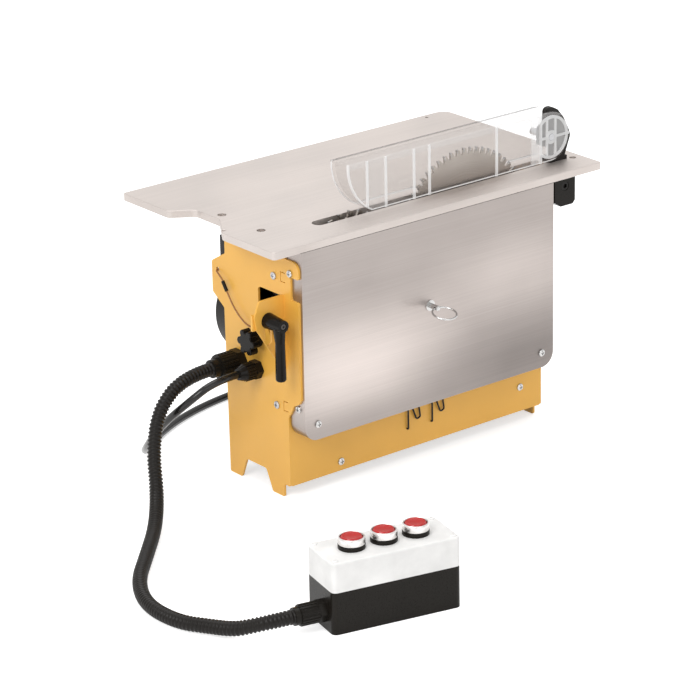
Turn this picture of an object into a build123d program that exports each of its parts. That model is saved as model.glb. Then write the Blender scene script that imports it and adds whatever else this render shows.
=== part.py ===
"""Double-blade table saw: a main blade and a scoring blade in one slot, on a lifting carriage."""

import os
from math import cos, hypot, pi, radians, sin, tan

from build123d import *

os.makedirs("parts", exist_ok=True)

# Chassis: folded sheet box under the front half of the table, centred on the origin
chassis_length = 368.0
chassis_depth = 111.0
table_underside = 292.0
sheet = 2.5
skirt_height = 15.0
foot_rise = 24.0
apron_height = 81.0
top_flange = 22.0

# Table plate
table_length = 470.0
table_width = 274.0
table_thickness = 8.5
table_left_overhang = 34.0
table_front_overhang = 26.0
slot_length = 332.0
slot_width = 16.0
slot_from_left = 90.0

# Saw blades and their places over the chassis
blade_y = -35.0
main_radius = 92.5
main_teeth = 60
main_kerf = 2.4
main_x = 85.0
main_rise = 41.0
scoring_radius = 55.0
scoring_teeth = 24
scoring_kerf = 2.4
scoring_x = -80.0
scoring_rise = 5.0
blade_bore = 15.0

# Carriage, slides and drive
plate_front = -13.0
plate_thickness = 8.0
plate_left_inset = 38.0
plate_right_inset = 34.0
plate_bottom = 62.0
plate_top = 284.0
lift_up = 3.0
lift_down = 24.0
rod_radius = 6.0
rod_y = 12.0
rod_left_inset = 10.0
rod_right_inset = 12.0
slide_fit = 0.05
shaft_fit = 0.05
bearing_bore = 7.5
bearing_outer = 16.0
bearing_width = 9.0
housing_radius = 22.0
housing_depth = 34.0
pulley_width = 12.0
pulley_lip = 3.0
pulley_gap = 1.0
main_pulley_radius = 22.0
scoring_pulley_radius = 15.0
motor_pulley_radius = 30.0
belt_width = 8.0
belt_thickness = 3.0
belt_fit = 0.3
flange_thickness = 6.5
main_flange_radius = 26.0
scoring_flange_radius = 22.0
nut_height = 8.0
nut_across = 24.0

# Motor, slung under the scoring arbor
motor_x = -82.0
motor_z = 154.0
motor_radius = 46.0
motor_length = 116.0
motor_wall = 5.0
motor_face = 8.0
end_cap_depth = 24.0
end_cap_wall = 5.0
cowl_flare = 11.5
cowl_round = 3.0
cowl_slots = 12
cowl_slot_length = 24.0
cowl_slot_width = 4.0
cowl_slot_depth = 12.0
cowl_slot_radius = 30.0
motor_shaft_radius = 7.0
stator_length = 70.0
rotor_radius = 24.0
air_gap = 0.6
press_gap = 0.05

# Clamp flap, arm and lever at the left end
flap_reach = 40.0
flap_top = 238.0
flap_bottom = 150.0
flap_front = -52.5
lever_out = 22.0
lever_z = 214.0
lever_hub = 27.0
lever_drop = 64.0
lever_root = 9.0
lever_nose = 6.8
lever_boss = (7.0, 9.0)
lever_neck = 5.4
lever_neck_drop = 20.0
lever_tip = 6.0
lever_round = 3.0
lever_recess = 3.6
lever_recess_depth = 2.0
stud_cover = 8.0
stud_head = 8.0
stud_head_depth = 5.0
stud_radius = 4.0
stud_fit = 0.4
arm_thickness = 3.0
arm_height = 18.0
arm_fit = 0.3

# Lift knob, pinion and rack
knob_y = -6.0
knob_z = 174.5
knob_radius = 15.0
knob_depth = 10.0
knob_stand = 9.0
knob_lobe = 4.2
knob_lobes = 6
knob_hub = 8.0
knob_shaft_cover = 6.0
pinion_teeth = 16
tooth_module = 1.0
flank_angle = 74
pinion_width = 18.0
knob_shaft_radius = 5.0
rack_inset = 16.0

# Side cover: a stainless pan that closes the blade side
cover_front = -81.5
cover_sheet = 1.5
cover_right = 179.0
cover_bottom = 74.0
cover_corner = 17.0
cover_back_gap = 1.5
cover_top_gap = 0.5
catch_x = -4.0
catch_z = 190.0
catch_pull = 8.0
pin_radius = 3.0
sleeve_shank = 4.6
ring_radius = 13.5
ring_wire = 1.1
ring_droop = 12.0

# Clear guard and its post
guard_left = -93.0
guard_bottom = 306.0
guard_top = 363.0
guard_width = 30.0
guard_y = -38.0
guard_wall = 3.0
guard_rib = 1.5
pivot_inset = 52.0
pivot_pin = 4.0
pivot_fit = 0.1
post_thickness = 6.0
post_set_back = 8.0

# Screws
pan_head_radius = 4.2
pan_head_height = 2.6
pan_shank = 2.5
screw_fit = 0.1
socket_head_radius = 5.0
socket_head_height = 5.0
socket_shank = 3.0

# Control box on the floor, turned a little from the machine
box_corner = (-363.2, -354.3)
box_turn = -12.7
box_length = 145.0
box_depth = 60.0
box_base_height = 46.0
box_lid_height = 32.0
box_wall = 2.5
box_round = 6.0
button_pitch = 36.2
button_hole = 11.15
button_radius = 11.5
button_travel = 3.0
bezel_radius = 13.9
bezel_height = 7.3
collar_radius = 14.2
collar_height = 5.2
button_fit = 0.3

# Glands, conduit and mains lead
conduit_radius = 7.9
conduit_bore = 6.0
conduit_root = 6.7
conduit_rib_pitch = 4.2
stretch_ribs = 10
conduit_gland_y = 29.5
gland_z = 139.0
conduit_gland_reach = 40.0
conduit_gland_radius = 15.0
conduit_nut = 9.0
conduit_grip_end = 31.0
gland_thread_share = 0.7
gland_thread = 7.0
gland_step = 1.5
lead_gland_y = -3.0
lead_gland_reach = 28.0
lead_gland_radius = 11.0
lead_nut = 8.0
lead_grip_end = 20.0
lead_radius = 4.25
box_gland_reach = 34.0
box_gland_radius = 12.0
box_gland_y = 22.0
box_gland_z = 20.0
earth_radius = 0.9
coil_centre = (38.0, 176.0)
coil_outer = 56.0
coil_step = 4.5
coil_half_turns = 5
coil_lift = 9.2
coil_tail = 70.0

# Places worked out from the sizes above
x_left = -chassis_length / 2
x_right = chassis_length / 2
y_front = -chassis_depth / 2
y_rear = chassis_depth / 2
inner_left = x_left + sheet
inner_right = x_right - sheet
table_left = x_left - table_left_overhang
table_right = table_left + table_length
table_front = y_front - table_front_overhang
table_rear = table_front + table_width
table_top = table_underside + table_thickness
main_z = table_top + main_rise - main_radius
scoring_z = table_top + scoring_rise - scoring_radius
plate_back = plate_front + plate_thickness
plate_left = x_left + plate_left_inset
plate_right = x_right - plate_right_inset
rod_left_x = plate_left + rod_left_inset
rod_right_x = plate_right - rod_right_inset
pivot_x = table_right - pivot_inset
lever_x = x_left - lever_out
flap_back = flap_front + sheet
pitch_radius = tooth_module * pinion_teeth / 2
rack_pitch_y = knob_y - pitch_radius
pivot_z = (guard_bottom + guard_top) / 2
guard_end = (guard_top - guard_bottom) / 2
box_height = box_base_height + box_lid_height


def front_plane(y):
    """Give the plane at Y = y that faces the front, with X and Z as its own axes."""
    return Plane.XZ.offset(-y)


def side_plane(x):
    """Give the plane at X = x that faces right, with Y and Z as its own axes."""
    return Plane.YZ.offset(x)


def barrel(x, z, radius, y_from, y_to, mode=Mode.ADD):
    """Add or cut a cylinder along Y in the part being made."""
    with Locations((x, (y_from + y_to) / 2, z)):
        Cylinder(radius, abs(y_to - y_from), rotation=(90, 0, 0), mode=mode)


def bar(y, z, radius, x_from, x_to, mode=Mode.ADD):
    """Add or cut a cylinder along X in the part being made."""
    with Locations(((x_from + x_to) / 2, y, z)):
        Cylinder(radius, abs(x_to - x_from), rotation=(0, 90, 0), mode=mode)


def post(x, y, radius, z_from, z_to, mode=Mode.ADD):
    """Add or cut a cylinder along Z in the part being made."""
    with Locations((x, y, (z_from + z_to) / 2)):
        Cylinder(radius, abs(z_to - z_from), mode=mode)


def block(x_from, x_to, y_from, y_to, z_from, z_to, mode=Mode.ADD):
    """Add or cut a box given by its corners in the part being made."""
    with Locations(((x_from + x_to) / 2, (y_from + y_to) / 2, (z_from + z_to) / 2)):
        Box(abs(x_to - x_from), abs(y_to - y_from), abs(z_to - z_from), mode=mode)


def keep(piece, name):
    """Label a finished piece and write it to its own file."""
    piece.label = name
    export_step(piece, f"parts/{name}.step")


def tooth_ring(radius, teeth, depth):
    """Give the outline of a saw blade whose teeth lean against the feed, seen from the front."""
    pitch = 2 * pi / teeth
    shape = ((0.0, 0.0), (-0.42, 0.16), (-0.62, 1.0), (-0.9, 0.96), (-0.98, 0.5))
    points = []
    for tooth in range(teeth):
        for share, drop in shape:
            angle = -tooth * pitch + share * pitch
            reach = radius - drop * depth
            points.append((reach * cos(angle), reach * sin(angle)))
    return points


def route_radii(points):
    """Give the largest arc that each corner of a route has room for."""
    radii = []
    for before, corner, after in zip(points, points[1:], points[2:]):
        run_in = Vector(*corner) - Vector(*before)
        run_out = Vector(*after) - Vector(*corner)
        turn = radians(run_in.get_angle(run_out))
        radii.append(0.45 * min(run_in.length, run_out.length) / tan(turn / 2))
    return radii


def box_plane(z):
    """Give the control box's own plane at height z, from its front left corner."""
    turn = radians(box_turn)
    return Plane(origin=(*box_corner, z), x_dir=(cos(turn), sin(turn), 0), z_dir=(0, 0, 1))


def box_place(along, across, z):
    """Give the place of a point of the control box in the machine's frame."""
    turn = radians(box_turn)
    x = box_corner[0] + along * cos(turn) - across * sin(turn)
    y = box_corner[1] + along * sin(turn) + across * cos(turn)
    return (x, y, z)


def build_pan_screw(length):
    """Make a pan-head screw with its head above the XY plane and its shank below it."""
    with BuildPart() as screw:
        post(0, 0, pan_head_radius, 0, pan_head_height)
        fillet(screw.edges().group_by(Axis.Z)[-1], pan_head_height * 0.6)
        post(0, 0, pan_shank, -length, 0)
    return screw.part


def build_socket_screw(length):
    """Make a socket-head screw with its head above the XY plane and its shank below it."""
    with BuildPart() as screw:
        post(0, 0, socket_shank, -length, 0)
        post(0, 0, socket_head_radius, 0, socket_head_height)
        with BuildSketch(Plane.XY.offset(socket_head_height)):
            RegularPolygon(socket_shank, 6)
        extrude(amount=-socket_head_height / 2, mode=Mode.SUBTRACT)
    return screw.part


flange_screw_inset = 13.0
left_flange_screws = (-38.0, 34.0)
right_flange_screws = (-12.0, 34.0)
right_flange_front = blade_y + 12.0
table_thread = 4.5
left_seats = [(x_left + flange_screw_inset, y) for y in left_flange_screws]
right_seats = [(x_right - flange_screw_inset, y) for y in right_flange_screws]
table_screw_seats = left_seats + right_seats
end_hole_x = x_left + 2.0
end_hole_ys = (-13.0, 57.0)
end_hole_radius = 5.0
end_hole_relief = 3.0
relief_depth = 14.0
panel_screw = build_pan_screw(9.0)
cover_screw = build_pan_screw(y_front + sheet - cover_front + 3.0)

# Left end panel: feet, rear tab, window, clamp flap, front strip and top flange in one folded sheet
strip_front = y_front - 22.8
ear_front = y_front - 23.5
tab_rear = y_rear + 20.5
left_outline = [
    (y_rear - 2.0, 0),
    (y_rear - 23.0, 0),
    (y_rear - 33.0, foot_rise),
    (y_front + 43.0, foot_rise),
    (y_front + 31.5, 0),
    (y_front + 11.0, 0),
    (y_front + 11.0, skirt_height),
    (y_front, skirt_height),
    (y_front, 97.0),
    (y_front - 4.7, 103.0),
    (y_front - 9.5, 112.5),
    (y_front - 18.5, 117.0),
    (strip_front, 123.0),
    (strip_front, 235.0),
    (y_front - 9.5, 235.0),
    (y_front - 9.5, 261.0),
    (ear_front, 261.0),
    (ear_front, 279.5),
    (y_front, 279.5),
    (y_front, table_underside),
    (y_rear - 3.8, table_underside),
    (y_rear - 3.8, 258.0),
    (tab_rear, 244.0),
    (tab_rear, 208.0),
    (y_rear, 194.0),
]
left_rounds = [2, 2, 4, 4, 2, 2, 2, 2, 2, 2, 1, 2, 2, 3, 2, 2, 2, 11, 1, 1, 1, 2, 4, 4, 3]
window_top = flap_top - 1.8
window_rear = flap_back + flap_reach + 3.0
window_outline = [
    (flap_back, window_top),
    (window_rear, window_top),
    (window_rear, flap_top - 24.0),
    (flap_back + 0.93 * flap_reach, flap_top - 32.0),
    (flap_back + 0.4 * flap_reach, flap_top - 66.0),
    (flap_back, flap_bottom),
]
earth_holes = [(1.5, 186.0), (65.5, 236.2)]
earth_fit = 1.6
side_screw = (y_front - 8.9, 265.0)
wall_screw = (y_front - 15.4, 110.3)
panel_screws = [side_screw, (y_front + 19.5, 255.5), (y_front + 19.5, 106.4)]
relief_places = [(y_front + 4.3, 257.6), (y_front + 4.3, 108.6)]
relief_width = 8.0
relief_height = 11.6
relief_slit = 0.9
with BuildPart() as left_end_panel:
    with BuildSketch(side_plane(x_left)):
        with BuildLine():
            FilletPolyline(*left_outline, radius=left_rounds, close=True)
        make_face()
        with BuildLine():
            FilletPolyline(*window_outline, radius=[1, 5, 4, 4, 8, 1], close=True)
        make_face(mode=Mode.SUBTRACT)
        with Locations(*panel_screws):
            Circle(pan_shank + screw_fit, mode=Mode.SUBTRACT)
        with Locations(*relief_places):
            Rectangle(relief_width, relief_height, mode=Mode.SUBTRACT)
        with Locations(*[(y - relief_slit, z) for y, z in relief_places]):
            Rectangle(relief_width, relief_height - 2 * relief_slit)
        with Locations((knob_y, knob_z)):
            Circle(knob_shaft_radius + shaft_fit, mode=Mode.SUBTRACT)
        with Locations((conduit_gland_y, gland_z)):
            Circle(conduit_gland_radius * gland_thread_share, mode=Mode.SUBTRACT)
        with Locations((lead_gland_y, gland_z)):
            Circle(lead_gland_radius * gland_thread_share, mode=Mode.SUBTRACT)
        with Locations(*earth_holes):
            Circle(earth_radius + earth_fit, mode=Mode.SUBTRACT)
    extrude(amount=sheet)
    with BuildSketch(front_plane(flap_front)):
        with BuildLine():
            FilletPolyline(
                (inner_left, flap_top),
                (x_left - 0.82 * flap_reach, flap_top),
                (x_left - flap_reach, flap_top - 17.0),
                (x_left - 0.93 * flap_reach, flap_top - 32.0),
                (x_left - 0.4 * flap_reach, flap_top - 66.0),
                (x_left, flap_bottom),
                (inner_left, flap_bottom),
                radius=[0, 5, 6, 6, 8, 2, 0],
                close=True,
            )
        make_face()
        with Locations((lever_x, lever_z + (lift_up - lift_down) / 2)):
            SlotCenterToCenter(
                lift_up + lift_down, 2 * (stud_radius + stud_fit), rotation=90, mode=Mode.SUBTRACT
            )
    extrude(amount=-sheet)
    block(x_left, x_left + top_flange, y_front, y_rear - 3.8, table_underside - sheet, table_underside)
    for x, y in left_seats:
        post(
            x, y, socket_shank + screw_fit,
            table_underside - sheet, table_underside, mode=Mode.SUBTRACT,
        )
    post(
        end_hole_x, end_hole_ys[0], end_hole_radius + end_hole_relief,
        table_underside - relief_depth, table_underside, mode=Mode.SUBTRACT,
    )
keep(left_end_panel.part, "left_end_panel")

# Right end panel
right_outline = [
    (y_rear - 2.0, 0),
    (y_rear - 23.0, 0),
    (y_rear - 33.0, foot_rise),
    (y_front + 43.0, foot_rise),
    (y_front + 31.5, 0),
    (y_front + 11.0, 0),
    (y_front + 11.0, skirt_height),
    (y_front, skirt_height),
    (y_front, table_underside),
    (y_rear, table_underside),
    (y_rear, 40.0),
]
with BuildPart() as right_end_panel:
    with BuildSketch(side_plane(inner_right)):
        with BuildLine():
            FilletPolyline(*right_outline, radius=[2, 2, 4, 4, 2, 2, 2, 2, 1, 1, 3], close=True)
        make_face()
    extrude(amount=sheet)
    block(
        x_right - top_flange, x_right, right_flange_front, y_rear - 2 * sheet,
        table_underside - sheet, table_underside,
    )
    for x, y in right_seats:
        post(
            x, y, socket_shank + screw_fit,
            table_underside - sheet, table_underside, mode=Mode.SUBTRACT,
        )
keep(right_end_panel.part, "right_end_panel")

# Front apron, with a tongue that the cover catch locks into
apron_top = skirt_height + apron_height
cover_screws = [(inner_left + 17.5, 92.0), (cover_right - 18.0, 92.0)]
apron_screws = [(x_left + 71.0, 26.0), (x_right - 33.0, 45.0)]
hook_places = [catch_x - 13.5, catch_x + 21.5]
hook_low = 39.0
hook_wire = 1.0
hook_stand = 2.5
hook_top = cover_bottom - 8.0
with BuildPart() as front_apron:
    with BuildSketch(front_plane(y_front)):
        with BuildLine():
            FilletPolyline(
                (inner_left, skirt_height),
                (inner_right, skirt_height),
                (inner_right, apron_top),
                (catch_x + 14.0, apron_top),
                (catch_x + 14.0, catch_z + 16.0),
                (catch_x - 14.0, catch_z + 16.0),
                (catch_x - 14.0, apron_top),
                (inner_left, apron_top),
                radius=[1, 1, 1, 4, 6, 6, 4, 1],
                close=True,
            )
        make_face()
        with Locations(*cover_screws, *apron_screws):
            Circle(pan_shank + screw_fit, mode=Mode.SUBTRACT)
        with Locations((catch_x, catch_z)):
            Circle(pin_radius + stud_fit, mode=Mode.SUBTRACT)
        with Locations(*[(x, hook_low) for x in hook_places]):
            Circle(hook_wire, mode=Mode.SUBTRACT)
    extrude(amount=-sheet)
keep(front_apron.part, "front_apron")

# Wire hooks on the apron
with BuildPart() as apron_hooks:
    for x in hook_places:
        hook_y = y_front - hook_stand
        with BuildLine() as hook_line:
            FilletPolyline(
                (x, y_front + sheet, hook_low),
                (x, hook_y, hook_low),
                (x, hook_y, hook_top),
                (x + 5.0, hook_y, hook_top),
                (x + 12.0, hook_y, hook_top - 18.0),
                (x + 17.5, hook_y, hook_top - 16.0),
                (x + 15.0, hook_y, hook_top),
                radius=[1.6, 2.4, 2.4, 2.5, 2.5],
            )
        with BuildSketch(Plane(origin=hook_line.line @ 0, z_dir=hook_line.line % 0)):
            Circle(hook_wire)
        sweep(path=hook_line.line)
keep(apron_hooks.part, "apron_hooks")

# Rear panel, open where the motor passes through and travels, with a lip behind the left panel's tab
motor_gap = 6.0
lip_rear = y_rear + 7.5
lip_bottom = 214.0
lip_top = 276.0
with BuildPart() as rear_panel:
    with BuildSketch(front_plane(y_rear)):
        with BuildLine():
            Polyline(
                (inner_left, skirt_height),
                (inner_right, skirt_height),
                (inner_right, table_underside),
                (inner_left, table_underside),
                close=True,
            )
        make_face()
        with Locations((motor_x, motor_z + (lift_up - lift_down) / 2)):
            SlotCenterToCenter(
                lift_up + lift_down, 2 * (motor_radius + motor_gap), rotation=90, mode=Mode.SUBTRACT
            )
    extrude(amount=sheet)
    block(inner_left, inner_left + sheet, y_rear - sheet, lip_rear, lip_bottom, lip_top)
    post(
        end_hole_x, end_hole_ys[1], end_hole_radius + end_hole_relief,
        table_underside - relief_depth, table_underside, mode=Mode.SUBTRACT,
    )
keep(rear_panel.part, "rear_panel")

# Table plate: notched left end, one long slot, open holes
post_seats = [(pivot_x + 12.0, guard_y + 4.0), (pivot_x + 25.0, guard_y + 4.0)]
table_holes = [
    (end_hole_x, end_hole_ys[0], end_hole_radius),
    (end_hole_x, end_hole_ys[1], end_hole_radius),
    (table_left + 6.0, 14.0, 2.6),
    (table_right - 13.0, guard_y - 9.5, 4.0),
    (table_right - 35.0, table_rear - 8.5, 2.0),
]
with BuildPart() as table_plate:
    with BuildSketch(Plane.XY.offset(table_underside)):
        with BuildLine():
            FilletPolyline(
                (table_left, table_front),
                (table_right, table_front),
                (table_right, table_rear),
                (table_left, table_rear),
                (table_left, table_rear - 85.0),
                (table_left + 25.5, table_rear - 102.5),
                (table_left + 25.5, table_rear - 145.0),
                (table_left, table_rear - 184.0),
                radius=[4, 3, 14, 3, 8, 9, 9, 8],
                close=True,
            )
        make_face()
        with Locations((table_left + slot_from_left + slot_length / 2, blade_y)):
            SlotOverall(slot_length, slot_width, mode=Mode.SUBTRACT)
        for x, y, radius in table_holes:
            with Locations((x, y)):
                Circle(radius, mode=Mode.SUBTRACT)
        with Locations(*post_seats):
            Circle(socket_shank + screw_fit, mode=Mode.SUBTRACT)
    extrude(amount=table_thickness)
    chamfer(table_plate.faces().sort_by(Axis.Z)[-1].outer_wire().edges(), 0.6)
    for x, y in table_screw_seats:
        post(x, y, socket_shank, table_underside, table_underside + table_thread, mode=Mode.SUBTRACT)
keep(table_plate.part, "table_plate")

# Side cover: stainless pan, open at the back and at the top
cover_back = y_front - cover_back_gap
cover_left = inner_left
cover_top = table_underside - cover_top_gap
with BuildPart() as side_cover:
    with BuildSketch(front_plane(cover_back)):
        with BuildLine():
            FilletPolyline(
                (cover_left, cover_bottom),
                (cover_right, cover_bottom),
                (cover_right, cover_top),
                (cover_left, cover_top),
                radius=[cover_corner, cover_corner, 0, 0],
                close=True,
            )
        make_face()
    extrude(amount=cover_back - cover_front)
    with BuildSketch(front_plane(cover_back)):
        with BuildLine():
            FilletPolyline(
                (cover_left + cover_sheet, cover_bottom + cover_sheet),
                (cover_right - cover_sheet, cover_bottom + cover_sheet),
                (cover_right - cover_sheet, cover_top),
                (cover_left + cover_sheet, cover_top),
                radius=[cover_corner - cover_sheet, cover_corner - cover_sheet, 0, 0],
                close=True,
            )
        make_face()
    extrude(amount=cover_back - cover_front - cover_sheet, mode=Mode.SUBTRACT)
    for x, z in cover_screws:
        barrel(x, z, pan_shank + screw_fit, cover_front, cover_front + 4.0, mode=Mode.SUBTRACT)
    for y, z in (side_screw, wall_screw):
        bar(y, z, pan_shank + screw_fit, cover_left - 1.0, cover_left + 4.0, mode=Mode.SUBTRACT)
    barrel(catch_x, catch_z, sleeve_shank, cover_front, cover_front + 4.0, mode=Mode.SUBTRACT)
keep(side_cover.part, "side_cover")

# Pan-head screws of the cover, the left panel and the apron
with BuildPart() as pan_head_screws:
    with Locations(*[Plane((x, cover_front, z), z_dir=(0, -1, 0)) for x, z in cover_screws]):
        add(cover_screw)
    with Locations(*[Plane((x_left, y, z), z_dir=(-1, 0, 0)) for y, z in panel_screws]):
        add(panel_screw)
    with Locations(Plane((inner_left, *wall_screw), z_dir=(-1, 0, 0))):
        add(panel_screw)
    with Locations(*[Plane((x, y_front, z), z_dir=(0, -1, 0)) for x, z in apron_screws]):
        add(panel_screw)
keep(pan_head_screws.part, "pan_head_screws")

# Cover catch: sleeve in the cover, spring pin through it, pull ring in the pin's eye
sleeve_radius = 6.2
sleeve_lip = 1.2
sleeve_back = cover_front + 18.0
with BuildPart() as catch_sleeve:
    barrel(catch_x, catch_z, sleeve_shank, cover_front, sleeve_back)
    barrel(catch_x, catch_z, sleeve_radius, cover_front - sleeve_lip, cover_front)
    barrel(catch_x, catch_z, sleeve_radius, cover_front + cover_sheet, cover_front + 5.5)
    barrel(catch_x, catch_z, pin_radius + shaft_fit, cover_front - sleeve_lip, sleeve_back, mode=Mode.SUBTRACT)
keep(catch_sleeve.part, "catch_sleeve")

eye_y = cover_front - 11.5
with BuildPart() as catch_pin:
    barrel(catch_x, catch_z, pin_radius, eye_y - 3.5, y_front + sheet + 2.0)
    bar(eye_y, catch_z, ring_wire + 0.6, catch_x - 6.0, catch_x + 6.0, mode=Mode.SUBTRACT)
    chamfer(catch_pin.edges().filter_by(GeomType.CIRCLE).sort_by(Axis.Y)[0], 0.8)
keep(catch_pin.part, "catch_pin")

ring_centre = (
    catch_x,
    eye_y - ring_radius * cos(radians(ring_droop)),
    catch_z - ring_radius * sin(radians(ring_droop)),
)
with BuildPart() as pull_ring:
    with Locations(Location(ring_centre, (ring_droop, 0, 0))):
        Torus(ring_radius, ring_wire)
keep(pull_ring.part, "pull_ring")

# Stop block under the right end of the table
block_left = x_right + 2.5
block_width = 30.7
block_drop = 34.0
block_cut_left = (8.7, 6.0)
block_cut_right = (3.7, 3.8)
block_front = table_front + 6.0
block_depth = 30.0
block_screw_x = block_left + 15.8
block_screw_z = table_underside - 11.0
block_thread = 10.0
block_bottom = table_underside - block_drop
block_right = block_left + block_width
socket_sink = socket_head_height + 0.5
with BuildPart() as stop_block:
    with BuildSketch(front_plane(block_front)):
        with BuildLine():
            Polyline(
                (block_left, table_underside),
                (block_left, block_bottom + block_cut_left[1]),
                (block_left + block_cut_left[0], block_bottom),
                (block_right - block_cut_right[0], block_bottom),
                (block_right, block_bottom + block_cut_right[1]),
                (block_right, table_underside),
                close=True,
            )
        make_face()
    extrude(amount=-block_depth)
    barrel(
        block_screw_x, block_screw_z, socket_shank,
        block_front, block_front + socket_sink + block_thread, mode=Mode.SUBTRACT,
    )
    barrel(
        block_screw_x, block_screw_z, socket_head_radius + 0.4,
        block_front, block_front + socket_sink, mode=Mode.SUBTRACT,
    )
keep(stop_block.part, "stop_block")

# Guard post: an upright plate on a foot behind the main blade, with a boss round the pivot
post_front = guard_y - post_set_back
post_back = post_front + post_thickness
post_left = pivot_x + 6.0
post_right = pivot_x + 31.5
post_outline = [
    (post_left, table_top),
    (post_left, pivot_z - 16.0),
    (pivot_x - 10.0, pivot_z - 10.0),
    (pivot_x - 10.0, pivot_z + 10.0),
    (pivot_x - 1.0, pivot_z + 16.0),
    (pivot_x - 1.0, guard_top + 3.0),
    (pivot_x + 8.0, guard_top + 3.6),
    (pivot_x + 17.0, guard_top - 1.0),
    (pivot_x + 26.0, guard_top - 12.0),
    (pivot_x + 37.0, pivot_z - 5.5),
    (pivot_x + 32.0, pivot_z - 18.5),
    (pivot_x + 27.5, table_top + 3.5),
    (post_right, table_top),
]
post_rounds = [0, 4, 5, 5, 4, 5, 6, 8, 8, 8, 8, 2, 0]
boss_radius = 8.0
boss_back = post_back + 1.0
foot_front = post_front
foot_back = guard_y + 10.0
foot_thickness = 4.5
with BuildPart() as guard_post:
    with BuildSketch(front_plane(post_back)):
        with BuildLine():
            FilletPolyline(*post_outline, radius=post_rounds, close=True)
        make_face()
    extrude(amount=post_thickness)
    barrel(pivot_x, pivot_z, boss_radius, post_front - 1.0, boss_back)
    block(post_left, post_right, foot_front, foot_back, table_top, table_top + foot_thickness)
    barrel(pivot_x, pivot_z, pivot_pin, guard_y - guard_width, guard_y + guard_width, mode=Mode.SUBTRACT)
    for x, y in post_seats:
        post(x, y, socket_shank, table_top, table_top + foot_thickness, mode=Mode.SUBTRACT)
keep(guard_post.part, "guard_post")

with BuildPart() as guard_pivot_pin:
    barrel(
        pivot_x, pivot_z, pivot_pin,
        guard_y - guard_width / 2 - guard_rib - 0.5, guard_y + guard_width / 2 + 1.0,
    )
keep(guard_pivot_pin.part, "guard_pivot_pin")

# Socket screws of the table, the guard post and the stop block
under_table = [Plane((x, y, table_underside - sheet), z_dir=(0, 0, -1)) for x, y in table_screw_seats]
under_foot = [Plane((x, y, table_underside), z_dir=(0, 0, -1)) for x, y in post_seats]
in_block = Plane((block_screw_x, block_front + socket_sink, block_screw_z), z_dir=(0, -1, 0))
with BuildPart() as socket_screws:
    with Locations(*under_table):
        add(build_socket_screw(sheet + table_thread))
    with Locations(*under_foot):
        add(build_socket_screw(table_thickness + foot_thickness))
    with Locations(in_block):
        add(build_socket_screw(block_thread))
keep(socket_screws.part, "socket_screws")

# Clear guard: two cheeks, a roof and a rounded nose, with ribs and a spoked half ring on the front
guard_front = guard_y - guard_width / 2
guard_back = guard_y + guard_width / 2
nose_bottom = guard_left + 32.0
nose_middle = (guard_left + 10.0, guard_bottom + 20.0)
nose_inner_middle = (guard_left + 13.3, guard_bottom + 21.5)
nose_wall = 3.5
guard_clear = 1.0
roof_end = pivot_x - 28.0
cavity_end = pivot_x + guard_end + 20.0
ring_reach = 14.0
ring_width = 3.5
half_ring = guard_end - 3.3
hub_radius = 8.0
spoke_offset = 6.3
rib_width = 3.0
rib_places = [guard_left + 24.0, guard_left + 50.0, -3.0, 19.0, 117.0, pivot_x - ring_reach - rib_width]
with BuildPart() as blade_guard:
    block(guard_left, pivot_x, guard_front, guard_back, guard_bottom, guard_top)
    barrel(pivot_x, pivot_z, guard_end, guard_front, guard_back)
    with BuildSketch(front_plane(guard_back - guard_wall)):
        with BuildLine():
            Polyline(
                (guard_left + nose_wall, guard_top - guard_wall),
                (roof_end, guard_top - guard_wall),
                (roof_end, guard_top + guard_clear),
                (cavity_end, guard_top + guard_clear),
                (cavity_end, guard_bottom - guard_clear),
                (nose_bottom + nose_wall, guard_bottom - guard_clear),
            )
            ThreePointArc(
                (nose_bottom + nose_wall, guard_bottom - guard_clear),
                nose_inner_middle,
                (guard_left + nose_wall, guard_top - guard_wall),
            )
        make_face()
    extrude(amount=guard_width - 2 * guard_wall, mode=Mode.SUBTRACT)
    for x in rib_places:
        block(x, x + rib_width, guard_front - guard_rib, guard_front, guard_bottom, guard_top)
    with BuildSketch(front_plane(guard_front)):
        with Locations((pivot_x, pivot_z)):
            Circle(half_ring)
            Circle(half_ring - ring_width, mode=Mode.SUBTRACT)
            Rectangle(2 * guard_end - 2.0, rib_width)
            with Locations((-spoke_offset, 0), (spoke_offset, 0)):
                Rectangle(rib_width, 2 * half_ring - ring_width)
            Circle(hub_radius)
            with Locations((-ring_reach - guard_end, 0)):
                Rectangle(2 * guard_end, 2 * guard_end + 2.0, mode=Mode.SUBTRACT)
    extrude(amount=guard_rib)
    with BuildSketch(front_plane(guard_back)):
        with BuildLine():
            ThreePointArc((nose_bottom, guard_bottom), nose_middle, (guard_left, guard_top))
            Polyline(
                (guard_left, guard_top),
                (guard_left - guard_clear, guard_top),
                (guard_left - guard_clear, guard_bottom - guard_clear),
                (nose_bottom, guard_bottom - guard_clear),
                (nose_bottom, guard_bottom),
            )
        make_face()
    extrude(amount=guard_width + 2 * guard_rib, mode=Mode.SUBTRACT)
    barrel(
        pivot_x, pivot_z, pivot_pin + pivot_fit,
        guard_front - 5.0, guard_back + 5.0, mode=Mode.SUBTRACT,
    )
keep(blade_guard.part, "blade_guard")

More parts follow.
